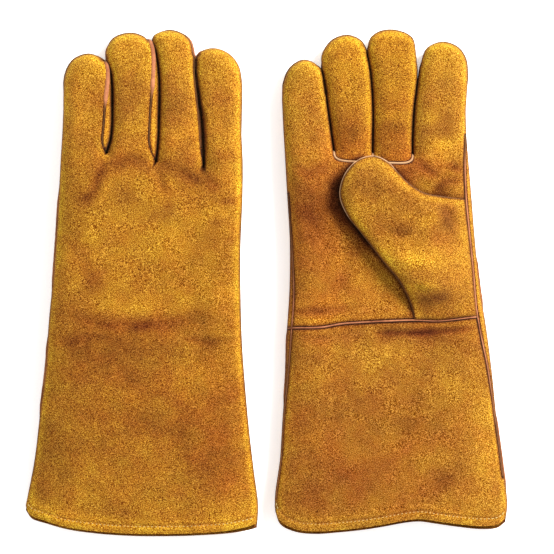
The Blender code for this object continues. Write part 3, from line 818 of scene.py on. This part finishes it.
def welt_leather(name, dark, pale, seed):
    """Smooth dyed leather, turned to a near-black painted shade where it lies deep in its seam."""
    n = Nodes(name)
    where = n.attribute("rest", vector=True)
    patches = n.noise(where, 14 + seed, 2.0)
    specks = n.noise(where, 1.2, 2.0)
    level = n.math("ADD", n.math("MULTIPLY", patches, 0.7), n.math("MULTIPLY", specks, 0.3))
    colour = n.ramp(level, ((0.3, dark), (0.68, pale)))
    # Where its tone is low a cord takes this near-black: painted shade for a welt deep in a seam or under an
    # edge
    deep = n.add("ShaderNodeMix", data_type="RGBA")
    n.join(n.attribute("tone"), deep.inputs[0])
    deep.inputs[6].default_value = (0.09, 0.032, 0.005, 1)
    n.join(colour, deep.inputs[7])
    return n.finish(deep.outputs[2], n.bump(specks, 0.2, 0.6), 0.8, 0.1)


def cloth(name, colour, size, sheen):
    n = Nodes(name)
    where = n.attribute("rest", vector=True)
    fuzz = n.noise(where, size, 3.0)
    shade = tuple(c * 0.6 for c in colour)
    shaded = n.ramp(fuzz, ((0.3, shade), (0.7, colour)))
    return n.finish(shaded, n.bump(fuzz, size * 0.4), 0.95, sheen)


BACK_SUEDE = suede("suede_back", (0.99, 0.97, 0.85), 0.50, 0.0)
PALM_SUEDE = suede("suede_palm", (0.98, 0.97, 0.95), 0.50, 4.3)
CUFF_SUEDE = suede("suede_gauntlet", (0.90, 0.845, 0.93), 0.50, 9.1)
FINGER_SUEDE = suede("suede_fingers", (0.95, 0.89, 0.72), 0.48, 14.9)
THUMB_SUEDE = suede("suede_thumb", (0.97, 0.93, 0.9), 0.49, 21.7)
SALMON = welt_leather("welt_salmon", (0.14, 0.035, 0.012), (0.40, 0.15, 0.065), 0)
CREAM = welt_leather("welt_cream", (0.27, 0.12, 0.045), (0.45, 0.28, 0.15), 3)
THREAD = cloth("thread", (0.5, 0.38, 0.14), 0.5, 0.1)
FLEECE = cloth("fleece", (0.42, 0.37, 0.29), 2.0, 0.6)
COTTON = cloth("cotton", (0.38, 0.32, 0.22), 0.8, 0.2)

# ---------------------------------------------------------------------------------------- transforms


def bend_at_wrist(piece):
    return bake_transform(piece)


def bend_at_knuckle(piece):
    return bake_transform(piece)


def bend_at_thumb(piece):
    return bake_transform(piece)


# ---------------------------------------------------------------------------------------- the gloves


def seam_lines(glove, sheet):
    """The seams that show on a sheet, each with the depth and width of its furrow."""
    if sheet == "front":
        lines = [
            (glove.seen_wrist_seam, 1.1, 1.25),
            (glove.base_line("ring"), 1.0, 0.9),
            (glove.base_line("middle"), 1.0, 0.9),
            (glove.inner_seam, 1.0, 1.15),
            (glove.outer_seam, 0.7, 0.8),
        ]
    else:
        lines = [(glove.side_strip(name), 0.7, 0.7) for name in STRIP]
    return lines + [(glove.hem_stitching, 0.55, 0.8)]


def surface(glove, sheet, points):
    """The sheet's height at points, and their distances from its sewn edge and from its hem."""
    d = distance(points, glove.sewn)
    full = share_of_height(sheet, points[:, 1], d)
    height = full_height(sheet, points[:, 1]) * full + relief(glove, sheet, points, d)
    for line, depth, width in seam_lines(glove, sheet):
        height += groove(points, line, depth, width) * np.minimum(full * 1.3, 1)
        height += puff(points, line, depth * 0.45, width * 2.8, width * 2.0) * full
    to_hem = distance(points, glove.hem)
    height -= HEM_THINNING * (1 - ease(to_hem, 0, 2.2))
    return np.maximum(height, 0) + SEAM_GAP, d, to_hem


def shading(glove, sheet, points, d, to_hem):
    """How much painted highlight (edge), painted shade (seam) and redness (warm) each point has, mostly from
    0 to 1.
    """
    left = glove.side == "left"
    # Painted shade along the sewn edge, where the sheet turns down into the seam
    seam = 0.4 * bell(d, 0, 0.9)
    # Painted shade in the crevices between neighbouring fingers
    dark, reach = (0.95, 1.6) if left else (0.8, 1.2)
    for line in glove.crevices:
        seam = np.maximum(seam, dark * bell(distance(points, line), 0, reach))
    # Painted shade in the furrows of the seams, fainter along the hem's stitching
    for line, _, width in seam_lines(glove, sheet):
        strength = 0.3 if line is glove.hem_stitching else 1.35
        seam = np.maximum(seam, strength * bell(distance(points, line), 0, width * 1.1))
    # Painted shade in the creases
    crease_shade = np.zeros(len(points))
    for line, depth, width in CREASES.get((glove.side, sheet), ()):
        track = smooth(line, 1.0)
        strength = 0.28 * depth * (1 + 0.5 * waves(points, 13, depth)) * fading(points, track)
        crease_shade = np.maximum(crease_shade, strength * bell(distance(points, track), 0, 1.4 * width))
    seam = np.maximum(seam, crease_shade)
    # Painted shadow of the thumb's edge on the palm
    if sheet == "front":
        seam = np.maximum(seam, thumb_shade(glove, points))
    # Painted highlight along the sewn edge; also brighter towards the fingertips and at the hem
    edge = 0.9 * bell(d, 2.2, 2.2) + 0.35 * ease(points[:, 1], 130, 168)
    edge += (0.75 if left else 0.45) * (1 - ease(to_hem, 4, 16))
    edge += patches(glove, sheet, points, PAINTED_HIGHLIGHTS)
    seam = np.maximum(seam, 0) + patches(glove, sheet, points, SHADE_AND_STAIN_PATCHES)
    # Redder patches of the leather, and a redder tint for the painted shade in the creases
    warm = patches(glove, sheet, points, WARM_PATCHES) + 1.6 * np.minimum(crease_shade, 0.5)
    return {"edge": np.clip(edge, 0, 1), "seam": seam, "warm": warm}


def patches(glove, sheet, points, table):
    """Large soft patches of a sheet, summed from a table."""
    value = np.zeros(len(points))
    for (x, y), (across, up), amount in table.get((glove.side, sheet), ()):
        gap = (points - (np.array((x, y)) - ORIGIN)) / (across, up)
        value += amount * np.exp(-(gap**2).sum(axis=1))
    return np.clip(value, 0, 1)


# Each patch has its centre, its reach across and up, and its strength.
# Redder tone of the leather.
WARM_PATCHES = {
    ("right", "front"): (
        ((40, 40), (40, 55), 0.9), ((60, 90), (50, 18), 0.4), ((110, 82), (26, 14), 0.5),
        ((60, -20), (60, 20), 0.4), ((70, -130), (75, 45), 0.45), ((24, -90), (30, 60), 0.3),
    ),
    ("left", "back"): (
        ((-110, -50), (55, 45), 0.3), ((-60, -100), (70, 60), 0.35), ((-60, 90), (50, 30), 0.35),
        ((-30, -110), (22, 50), 0.4),
    ),
}
# Painted highlights on ridges, puffs and rounded edges.
PAINTED_HIGHLIGHTS = {
    ("right", "thumb"): (
        ((104, 15), (18, 6), 1.0), ((108, -3), (10, 4), 1.0), ((82, 24), (6, 10), 0.6),
        ((64, 50), (8, 14), 0.5), ((140, 20), (5, 24), 0.35), ((112, 44), (12, 5), 0.35),
        ((108, 24), (14, 6), 0.4),
    ),
    ("right", "front"): (
        ((124, 97), (9, 5), 0.9), ((114, 116), (8, 5), 0.4), ((88, 117), (9, 4), 0.5),
        ((66, 8), (18, 14), 0.35), ((80, -50), (20, 8), 0.4), ((129, -80), (14, 18), 0.45),
        ((36, -27), (24, 2.5), 0.5), ((124, 88), (7, 4), 0.4), ((152, -112), (10, 42), 0.5),
        ((14, -90), (6, 50), 0.3), ((70, -60), (60, 20), 0.15),
    ),
    ("left", "back"): (
        ((-123, 31), (7, 9), 0.5), ((-78, 62), (14, 8), 0.4), ((-70, 20), (30, 14), 0.2),
        ((-60, 104), (8, 8), 0.4), ((-104, -18), (30, 6), 0.25),
    ),
}
# Darker patches: partly painted shade in folds, hollows and beside crevices, partly darker stains of the
# leather.
SHADE_AND_STAIN_PATCHES = {
    ("right", "thumb"): (
        ((128, 44), (8, 9), 0.44), ((92, 36), (14, 6), 0.30), ((96, 1), (6, 4), 0.25),
        ((118, -11), (13, 4.5), 0.34), ((104, 56), (16, 8), 0.12), ((134, 0), (8, 10), 0.18),
        ((76, 66), (10, 8), 0.08),
    ),
    ("right", "front"): (
        ((58, 104), (6, 10), 0.22), ((88, 110), (9, 7), 0.2), ((115, 106), (9, 4), 0.14),
        ((98, 76), (9, 8), 0.22), ((123, 66), (6, 4), 0.3), ((28, 56), (14, 20), 0.16),
        ((90, -100), (24, 9), 0.13), ((23, -119), (9, 9), 0.14), ((110, -40), (24, 6), 0.16),
        ((28, -8), (16, 12), 0.08), ((34, -21), (22, 3.5), 0.14), ((33, -54), (9, 7), 0.1),
        ((124, -143), (12, 9), 0.13), ((55, -140), (14, 9), 0.08), ((40, -88), (20, 14), 0.06),
        ((75, -135), (55, 22), 0.07),
    ),
    ("left", "back"): (
        ((-110, -45), (36, 18), 0.14), ((-60, -45), (40, 14), 0.10), ((-34, -110), (12, 36), 0.14),
        ((-90, -100), (50, 30), 0.07), ((-64, 124), (9, 26), 0.2), ((-97, 122), (7, 10), 0.18),
        ((-69, 81), (13, 6), 0.18), ((-50, 72), (8, 5), 0.2), ((-32, 84), (7, 6), 0.12),
        ((-100, 58), (9, 7), 0.1), ((-128, 58), (7, 8), 0.14), ((-33, 42), (8, 3), 0.18),
        ((-40, 26), (8, 10), 0.08),
    ),
}


def thumb_shade(glove, points):
    """Painted shadow on the palm, in the hollow under the thumb's overhanging edge."""
    edge, _, _ = thumb_parts(glove)
    tip, bare = edge[:, 1].argmax(), 12  # how many points of the edge have no shade on each side of the tip
    low, high = edge[: tip - bare], edge[tip + bare :]
    reach = 2.2 + 8.8 * bell(points[:, 1], 58, 21)
    shade = 0.7 * np.exp(-((distance(points, low) / reach) ** 1.5))
    return np.maximum(shade, 0.55 * np.exp(-((distance(points, high) / 2.6) ** 1.5)))


def leather_sheet(glove, sheet):
    """The points, faces, normals, thickness and shading of a whole sheet."""
    cut = across_at(CUT_Y, 1.2)
    lines = [line for line, _, _ in seam_lines(glove, sheet)]
    if sheet == "front":
        inner, outer = glove.crotches[0][0], glove.crotches[2][0]
        splits = [cut[cut[:, 0] > inner + 0.3], cut[cut[:, 0] < outer - 0.3]]
        splits += [glove.wrist_seam, glove.base_line("ring"), glove.base_line("middle")]
    else:
        splits = [cut]
    low, high = glove.outline[:, 0].min() - 2, glove.outline[:, 0].max() + 2
    splits = [line[(line[:, 0] > low) & (line[:, 0] < high)] for line in splits]
    points, faces = spread(glove.outline, splits, lines, SHEET_STEP, EDGE_RINGS)
    height, d, to_hem = surface(glove, sheet, points)
    fields = shading(glove, sheet, points, d, to_hem)
    lower = (glove.side == "right") == (sheet == "back")
    moved = points.copy()
    moved[:, 1] += (-HEM_LIP if lower else HEM_SHORT) * (1 - ease(to_hem, 0, 14))
    # Painted shade on the lower sheet's lip, under the upper sheet's hem
    if lower:
        fields["seam"] = fields["seam"] + 0.4 * (1 - ease(to_hem, 1, 4))
    world = glove.world(moved, SIGN[sheet] * height)
    if SIGN[sheet] * glove.up < 0:
        faces = faces[:, ::-1]
    normals = vertex_normals(world, faces)
    thickness = LEATHER + (HEM_LEATHER - LEATHER) * (1 - ease(to_hem, 5.5, 7.5))
    return points, faces, world, normals, thickness, fields


def leather_part(name, whole, chosen, finish):
    """The piece of a whole leather sheet that has the chosen faces."""
    _, faces, world, normals, thickness, fields = whole
    piece = solid_sheet(name, world, normals, faces[chosen], thickness, fields, finish)
    return piece


def build_sheets(glove):
    """The leather of both sheets, cut into the parts that the CAD model has."""
    side = glove.side
    for sheet in SIGN:
        whole = leather_sheet(glove, sheet)
        points, faces = whole[:2]
        middle = points[faces].mean(axis=1)
        x, y = middle[:, 0], middle[:, 1]
        finger = glove.finger_at(middle)
        above = y > CUT_Y
        if sheet == "front":
            for name in ("middle", "ring"):
                base = glove.base_line(name)
                order = np.argsort(base[:, 0])
                base_y = np.interp(x, base[order, 0], base[order, 1], left=999, right=999)
                in_base = (y > base_y) & (y < CUT_Y + 1)
                above |= in_base
                finger = np.where(in_base, FINGERS.index(name), finger)
            seam_y = np.interp(x, glove.wrist_seam[:, 0], glove.wrist_seam[:, 1])
            cuff = (y < seam_y) & ~above
            piece = leather_part(f"{side}_gauntlet_front", whole, cuff, CUFF_SUEDE)
            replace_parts(bend_at_wrist(piece), f"{side}_cuff_front")
            piece = leather_part(f"{side}_palm_leather", whole, ~cuff & ~above, PALM_SUEDE)
            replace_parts(bend_at_wrist(piece), f"{side}_palm")
        else:
            piece = leather_part(f"{side}_back_leather", whole, ~above, BACK_SUEDE)
            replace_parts(bend_at_wrist(piece), f"{side}_hand_back", f"{side}_cuff_back")
        for i, name in enumerate(FINGERS):
            finish = BACK_SUEDE if sheet == "back" else (PALM_SUEDE if i in (0, 3) else FINGER_SUEDE)
            piece = leather_part(f"{side}_{name}_{sheet}_leather", whole, above & (finger == i), finish)
            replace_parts(bend_at_knuckle(piece), f"{side}_{name}_{sheet}")


def on_sheet(glove, sheet, line, lift):
    """A line of points laid on a sheet, lift above its surface."""
    height, _, _ = surface(glove, sheet, line)
    return glove.world(line, SIGN[sheet] * (height + lift))


def build_welts(glove):
    """The welts of the wrist seam, the finger bases, the side seams and the fingers' sides."""
    side = glove.side
    wrist = glove.seen_wrist_seam
    wrist = wrist[inside(wrist, glove.outline)]
    line = on_sheet(glove, "front", wrist, 0.15)
    piece = cords(f"{side}_wrist_seam_welt", [line[::2]], 0.64, SALMON)
    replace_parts(bend_at_wrist(piece), f"{side}_wrist_welt")
    hidden = {"right": 0, "left": 5}[side]
    bases = [glove.base_line(name) for name in ("middle", "ring")]
    bases = [on_sheet(glove, "front", line[hidden : len(line) - hidden], 0.2)[::2] for line in bases]
    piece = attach(cords(f"{side}_finger_base_seam_welt", bases, 0.8, CREAM), f"{side}_hand")
    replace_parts(piece, f"{side}_finger_base_welt")
    overlap = 1.0
    for label, edge in (("inner", glove.inner_edge), ("outer", glove.outer_edge)):
        edge = edge[edge[:, 1] < CUT_Y + overlap][::2]
        # Where tone is low these welts are near-black painted shade
        tone = near_places(edge, WELT_SHOWS[side])
        piece = cords(f"{side}_{label}_side_welt", [glove.world(edge, 0)], 0.25 + 1.3 * tone, SALMON, tone)
        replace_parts(bend_at_wrist(piece), f"{side}_{label}_cuff_welt", f"{side}_{label}_hand_welt")
    # Near-black cords of painted shade along the fingers' outlines below the cut, filling the gaps at the
    # crotches
    ends = []
    for line in glove.finger_lines.values():
        line = line[line[:, 1] < CUT_Y + overlap]
        parts = np.split(line, np.flatnonzero(np.diff(line[:, 0]) > 5) + 1)
        ends += [glove.world(part, 0) for part in parts if len(part) > 3]
    if ends:
        piece = cords(f"{side}_crotch_welts", ends, 0.3, SALMON, 0)
        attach(piece, f"{side}_hand")
    for name in FINGERS:
        line = glove.finger_lines[name]
        if name == "index":
            line = np.vstack([glove.inner_edge, line])
        if name == "little":
            line = np.vstack([line, glove.outer_edge])
        line = line[line[:, 1] > CUT_Y - overlap][::2]
        # Where tone is low the finger's welt is near-black painted shade
        tone = near_places(line, WELT_SHOWS[side])
        deep = bell(np.min([distance(line, run) for run in glove.crevices], axis=0), 0, 2.5)
        bare = near_places(line, WELT_EDGES[side])
        radius = 0.22 - 0.03 * deep + 0.7 * tone + 0.5 * bare * (1 - tone)
        piece = cords(f"{side}_{name}_side_welt", [glove.world(line, 0)], radius, SALMON, tone)
        bend_at_knuckle(piece)
        if name in STRIP:
            line = glove.side_strip(name)
            line = line[line[:, 1] > CUT_Y][::2]
            share = np.linspace(0, 1, len(line))
            # Where tone is low the strip's welt is near-black painted shade
            if name == "middle":
                swelling, tone = 0.5, 0.8 * ease(share, 0.78, 0.9)
            else:
                swelling, tone = 1.5, ease(share, 0.42, 0.56) * (1 - 0.6 * ease(share, 0.93, 1))
            strip = on_sheet(glove, "back", line, 0.15)
            piece = cords(f"{side}_{name}_strip_welt", [strip], 0.3 + swelling * tone, SALMON, tone)
            bend_at_knuckle(piece)


# Where the welts of the side seams show plainly: the middle of the stretch, its reach and how plainly.
# Elsewhere the welts take the near-black of painted shade.
WELT_SHOWS = {
    "left": (
        ((-113, 160), 9, 0.7), ((-50.5, 150), 14, 1), ((-53, 161), 8, 1), ((-118, 153), 6, 1),
        ((-150, 30), 40, 0.75), ((-157, -66), 32, 0.75),
    ),
    "right": (((13, -60), 30, 0.6), ((166, -120), 30, 0.6), ((150, 0), 20, 0.6)),
}


# Where the welt stands out thicker round a fingertip, in its near-black painted shade, in the same way.
WELT_EDGES = {
    "left": (((-139, 154), 22, 1), ((-60, 177), 16, 1), ((-100, 176), 16, 1)),
    "right": (((137, 160), 24, 1), ((92, 178), 18, 1), ((56, 174), 18, 1), ((16, 150), 16, 1)),
}


def near_places(line, table):
    """The greatest strength that a table's places have at each point of the line, from 0 to 1."""
    value = np.zeros(len(line))
    for place, reach, most in table:
        gap = np.linalg.norm(line - (np.array(place) - ORIGIN), axis=1)
        value = np.maximum(value, most * (1 - ease(gap, reach * 0.6, reach)))
    return value


def build_thread(glove):
    """The row of topstitching along the hem, on both sheets."""
    fine, pitch, length, dip, rise = 0.1, 2.9, 2.1, 0.3, 0.35
    per_stitch, per_pitch, margin = int(length / fine), int(pitch / fine), 20
    for sheet in SIGN:
        line = glove.hem_stitching
        line = respace(line[inside(line, glove.outline)], fine)
        laid = on_sheet(glove, sheet, line, 0)
        stitches = []
        for start in range(margin, len(line) - per_stitch - margin, per_pitch):
            chosen = laid[start : start + per_stitch + 1 : per_stitch // 6].copy()
            bow = np.sin(np.linspace(0, pi, len(chosen)))
            chosen[:, 2] += SIGN[sheet] * glove.up * (bow * (dip + rise) - dip)
            stitches.append(chosen)
        piece = cords(f"{glove.side}_hem_thread_{sheet}", stitches, 0.3, THREAD, sides=6, wobble=0)
        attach(piece, f"{glove.side}_cuff")


def thumb_parts(glove):
    """The thumb's lines: its free edge, its seam to the side and the wrist seam below it."""
    edge, side = smooth(glove.place(THUMB_EDGE)), smooth(glove.place(THUMB_SIDE))
    wrist = glove.wrist_seam[np.argsort(glove.wrist_seam[:, 0])]
    wrist = wrist[(wrist[:, 0] > edge[0, 0] + 0.5) & (wrist[:, 0] < side[-1, 0] - 0.5)][::-1]
    return edge, side, wrist


# The creases of the thumb. A depth below 0 is a ridge.
THUMB_CREASES = (
    (((119, 59), (127, 50), (134, 38)), 2.0, 2.6),
    (((78, 38), (90, 33), (104, 33), (116, 38)), 1.2, 4.0),
    (((88, 17), (100, 14), (112, 14), (122, 17)), -1.3, 4.0),
    (((92, 3), (100, -1), (108, -7), (118, -9), (129, -13)), 1.0, 2.8),
    (((104, -2), (112, -3), (120, -2)), -0.8, 2.6),
)


def thumb_edge_lift(glove, points):
    """How far the thumb's welted edge stands above the palm."""
    r = (points - glove.root) @ glove.towards_tip
    return THUMB_EDGE_RISE * ease(r, -2, 27)


def build_thumb(glove):
    """The wing thumb: a full outer panel standing up from the palm, and a thin inner one on its free part."""
    side = glove.side
    edge, seam, wrist = thumb_parts(glove)
    outline = respace(np.vstack([edge, seam, wrist, edge[:1]]), 1.2)[:-1]
    points, faces = spread(outline, [], [], THUMB_STEP, EDGE_RINGS)
    palm, _, _ = surface(glove, "front", points)
    palm = palm - SEAM_GAP
    d = distance(points, edge)
    d_seam, d_wrist = distance(points, seam), distance(points, wrist)
    sewn = np.minimum(d_seam, d_wrist)
    lift = thumb_edge_lift(glove, points)
    fade = ease(d_seam, 0, 36) ** 0.8 * ease(d_wrist, 0, 30) ** 0.8
    wrinkles = 0.7 * waves(points, 26, 41.0) + 0.3 * waves(points, 10, 47.0)
    for line, depth, width in THUMB_CREASES:
        track = smooth(glove.place(line), 1.0)
        wander = 1.2 * waves(points, 11, 44.0)[:, None]
        wrinkles += groove(points + wander, track, depth, width) * fading(points, track)
    wrinkles *= ease(np.minimum(d, sewn), 0.5, 8)
    off_palm, thinnest = 0.9, 0.4
    top = palm + off_palm + lift + (THUMB_RISE - lift) * rounding(d, 15.0, 2.2) * fade + wrinkles
    top = np.minimum(top, THUMB_TOP)
    world = glove.world(points, top)
    chosen = faces if glove.up > 0 else faces[:, ::-1]
    # Painted shade along the thumb's seams and under its free edge, plus the darker patches
    thumb_shade_and_stains = np.maximum(0.8 * bell(sewn, 0, 1.2), 0.6 * bell(d, 0, 0.8))
    thumb_shade_and_stains += patches(glove, "thumb", points, SHADE_AND_STAIN_PATCHES)
    # Painted highlight along the free edge and in the highlight patches
    thumb_highlight = 0.6 * bell(d, 2.6, 2.8) + patches(glove, "thumb", points, PAINTED_HIGHLIGHTS)
    fields = {"edge": thumb_highlight, "seam": thumb_shade_and_stains, "warm": np.zeros(len(points))}
    normals = vertex_normals(world, chosen)
    name = f"{side}_thumb_outer_leather"
    piece = solid_sheet(name, world, normals, chosen, THUMB_LEATHER, fields, THUMB_SUEDE)
    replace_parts(bend_at_thumb(piece), f"{side}_thumb_front", f"{side}_thumb_base")

    free = (points - glove.root) @ glove.towards_tip
    under = faces[(free[faces] > -2).all(axis=1)]
    below = palm + 0.95 + (lift - 0.3) * (1 - rounding(d, 11.0, 2.2))
    world = glove.world(points, np.minimum(below, top - thinnest))
    chosen = under[:, ::-1] if glove.up > 0 else under
    normals = vertex_normals(world, chosen)
    piece = solid_sheet(f"{side}_thumb_inner_leather", world, normals, chosen, 0.3, fields, THUMB_SUEDE)
    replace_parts(bend_at_thumb(piece), f"{side}_thumb_back")

    palm_edge, _, _ = surface(glove, "front", edge)
    tip = edge[:, 1].argmax()
    # Where tone is low the edge's welt sinks under the edge in a near-black painted shade
    tone = ease(edge[:, 1], 38, 52) * (1 - ease(np.arange(len(edge)) - tip, 22, 40))
    line = glove.world(edge, palm_edge - SEAM_GAP + 0.3 + 0.5 * tone + thumb_edge_lift(glove, edge))
    tone = tone[::2]
    piece = cords(f"{side}_thumb_edge_welt", [line[::2]], 0.3 + 0.25 * tone, CREAM, 0.1 + 0.9 * tone)
    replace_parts(bend_at_thumb(piece), f"{side}_thumb_welt")


def build_side_welts(glove):
    """The welts beside the palm's two edges, which lie on the palm's side of the glove."""
    side = glove.side
    line = glove.inner_seam[::2]
    # Where tone is low the welt is near-black painted shade
    tone = 0.95 - 0.65 * ease(-line[:, 1], 50, 110) - 0.8 * ease(line[:, 1], 80, 96)
    laid = on_sheet(glove, "front", line, 0.5)
    piece = cords(f"{side}_thumb_side_welt", [laid], 0.3 + 0.3 * tone, SALMON, tone)
    bend_at_wrist(piece)
    line = glove.outer_seam[::2]
    # Where tone is low the welt is near-black painted shade
    tone = 0.25 + 0.6 * bell(line[:, 1], -22, 26)
    laid = on_sheet(glove, "front", line, 0.3)
    piece = cords(f"{side}_little_side_welt_line", [laid], 0.5, SALMON, tone)
    bend_at_wrist(piece)


LININGS = {"cotton": (COTTON_LINING, COTTON), "fleece": (FLEECE_LINING, FLEECE)}


def build_linings(glove):
    """Plain inner shells, open at the crotches. They show only at the gauntlet's mouth."""
    side = glove.side
    shells = {sheet: lining_shell(glove, sheet) for sheet in SIGN}
    for group in ("cuff", "hand", *FINGERS):
        made = []
        for sheet, (faces, world, normals, y, finger) in shells.items():
            if group == "cuff":
                chosen = y < WRIST_Y
            elif group == "hand":
                chosen = (y > WRIST_Y) & (y < CUT_Y)
            else:
                chosen = (y > CUT_Y) & (finger == FINGERS.index(group))
            cloth_name = "cotton" if group == "cuff" else "fleece"
            thickness, finish = LININGS[cloth_name]
            label = f"{side}_{group}_lining_{sheet}_cloth"
            piece = solid_sheet(label, world, normals, faces[chosen], thickness, {}, finish)
            if group in FINGERS:
                bend_at_knuckle(piece)
            else:
                bend_at_wrist(piece)
            made.append(piece)
        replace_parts(made[0], f"{side}_{group}_lining")
    build_thumb_lining(glove)


def lining_shell(glove, sheet):
    """The faces, world points and normals of the lining under a sheet, and each face's Y and finger."""
    inset, clear, low, notch = 2.6, 2.3, 0.4, 6
    outline = respace(closed(glove.outline), 2.6)[:-1]
    splits = [across_at(CUT_Y, 3.0), across_at(WRIST_Y, 3.0)]
    points, faces = spread(outline, splits, [], LINING_STEP, (inset, inset + 1.5, inset + 4))
    d = distance(points, glove.sewn)
    from_crotch = np.min([np.linalg.norm(points - crotch, axis=1) for crotch in glove.crotches], axis=0)
    keep = ((d[faces] > inset * 0.8) & (from_crotch[faces] > notch)).all(axis=1)
    y = points[:, 1]
    height = low + (full_height(sheet, y) - clear - low) * share_of_height(sheet, y, d, inset * 0.8)
    moved = points.copy()
    moved[:, 1] += 2.5 * (1 - ease(distance(points, glove.hem), 0, 12))
    world = glove.world(moved, SIGN[sheet] * height)
    if SIGN[sheet] * glove.up < 0:
        faces = faces[:, ::-1]
    normals = vertex_normals(world, faces)
    faces = faces[keep]
    middle = points[faces].mean(axis=1)
    return faces, world, normals, middle[:, 1], glove.finger_at(middle)


def build_thumb_lining(glove):
    """The thumb's stall, inside the part of the thumb that stands free of the palm."""
    side = glove.side
    edge, _, _ = thumb_parts(glove)
    free = (edge - glove.root) @ glove.towards_tip
    rim = respace(edge[free > 9], 2.5)
    middle, inset = rim.mean(axis=0), 4.5
    rim = middle + (rim - middle) * (1 - inset / np.linalg.norm(rim - middle, axis=1))[:, None]
    points, faces = spread(rim, [], [], 4.0, (1.2, 3.0))
    palm, _, _ = surface(glove, "front", points)
    d = distance(points, respace(closed(rim), SEAM_STEP))
    lift = thumb_edge_lift(glove, points)
    thick = (THUMB_RISE - lift) * 0.62
    low = palm + 1.2 + lift * (1 - rounding(d + 3, 11.0, 2.2))
    high = np.maximum(low + 0.6, palm + 0.2 + lift + (thick - 1.0) * rounding(d, 9.0))
    for label, height, flip in (("outer", high, glove.up < 0), ("inner", low, glove.up > 0)):
        world = glove.world(points, height)
        chosen = faces[:, ::-1] if flip else faces
        name = f"{side}_thumb_lining_{label}_cloth"
        piece = solid_sheet(name, world, vertex_normals(world, chosen), chosen, 0.25, {}, FLEECE)
        bend_at_thumb(piece)
        if label == "outer":
            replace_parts(piece, f"{side}_thumb_lining")


for side in ("right", "left"):
    glove = Glove(side)
    build_sheets(glove)
    build_welts(glove)
    build_thread(glove)
    build_thumb(glove)
    build_side_welts(glove)
    build_linings(glove)

# ---------------------------------------------------------------------------------------- the studio


def studio():
    """A white floor, white surroundings, one softbox from the upper right and a camera straight above."""
    scene = bpy.context.scene
    bpy.ops.mesh.primitive_plane_add(size=8, location=(0, 0, 0))
    floor = bpy.context.object
    floor.name = "floor"
    n = Nodes("floor_paper")
    n.shader.inputs["Base Color"].default_value = (0.95, 0.95, 0.95, 1)
    n.shader.inputs["Emission Color"].default_value = (1, 1, 1, 1)
    n.shader.inputs["Emission Strength"].default_value = 0.38
    n.shader.inputs["Roughness"].default_value = 0.9
    n.shader.inputs["Specular IOR Level"].default_value = 0.1
    floor.data.materials.append(n.material)

    world = bpy.data.worlds.new("studio")
    world.use_nodes = True
    world.node_tree.nodes["Background"].inputs[0].default_value = (1, 1, 1, 1)
    world.node_tree.nodes["Background"].inputs[1].default_value = 1.0
    scene.world = world

    light = bpy.data.lights.new("softbox", "AREA")
    light.size = 0.8
    light.energy = 105
    lamp = bpy.data.objects.new("softbox", light)
    lamp.location = (1.35, 0.95, 1.4)
    lamp.rotation_euler = Vector(lamp.location).to_track_quat("Z", "Y").to_euler()
    scene.collection.objects.link(lamp)

    data = bpy.data.cameras.new("camera")
    data.sensor_width = 36
    camera_height = 2.4
    glove_height, seen_width = 0.024, 0.3906  # the picture is this wide at this height
    data.lens = data.sensor_width * (camera_height - glove_height) / seen_width
    camera = bpy.data.objects.new("camera", data)
    camera.location = (0.0059, 0.0029, camera_height)
    scene.collection.objects.link(camera)
    scene.camera = camera
    scene.view_settings.view_transform = "Standard"


studio()
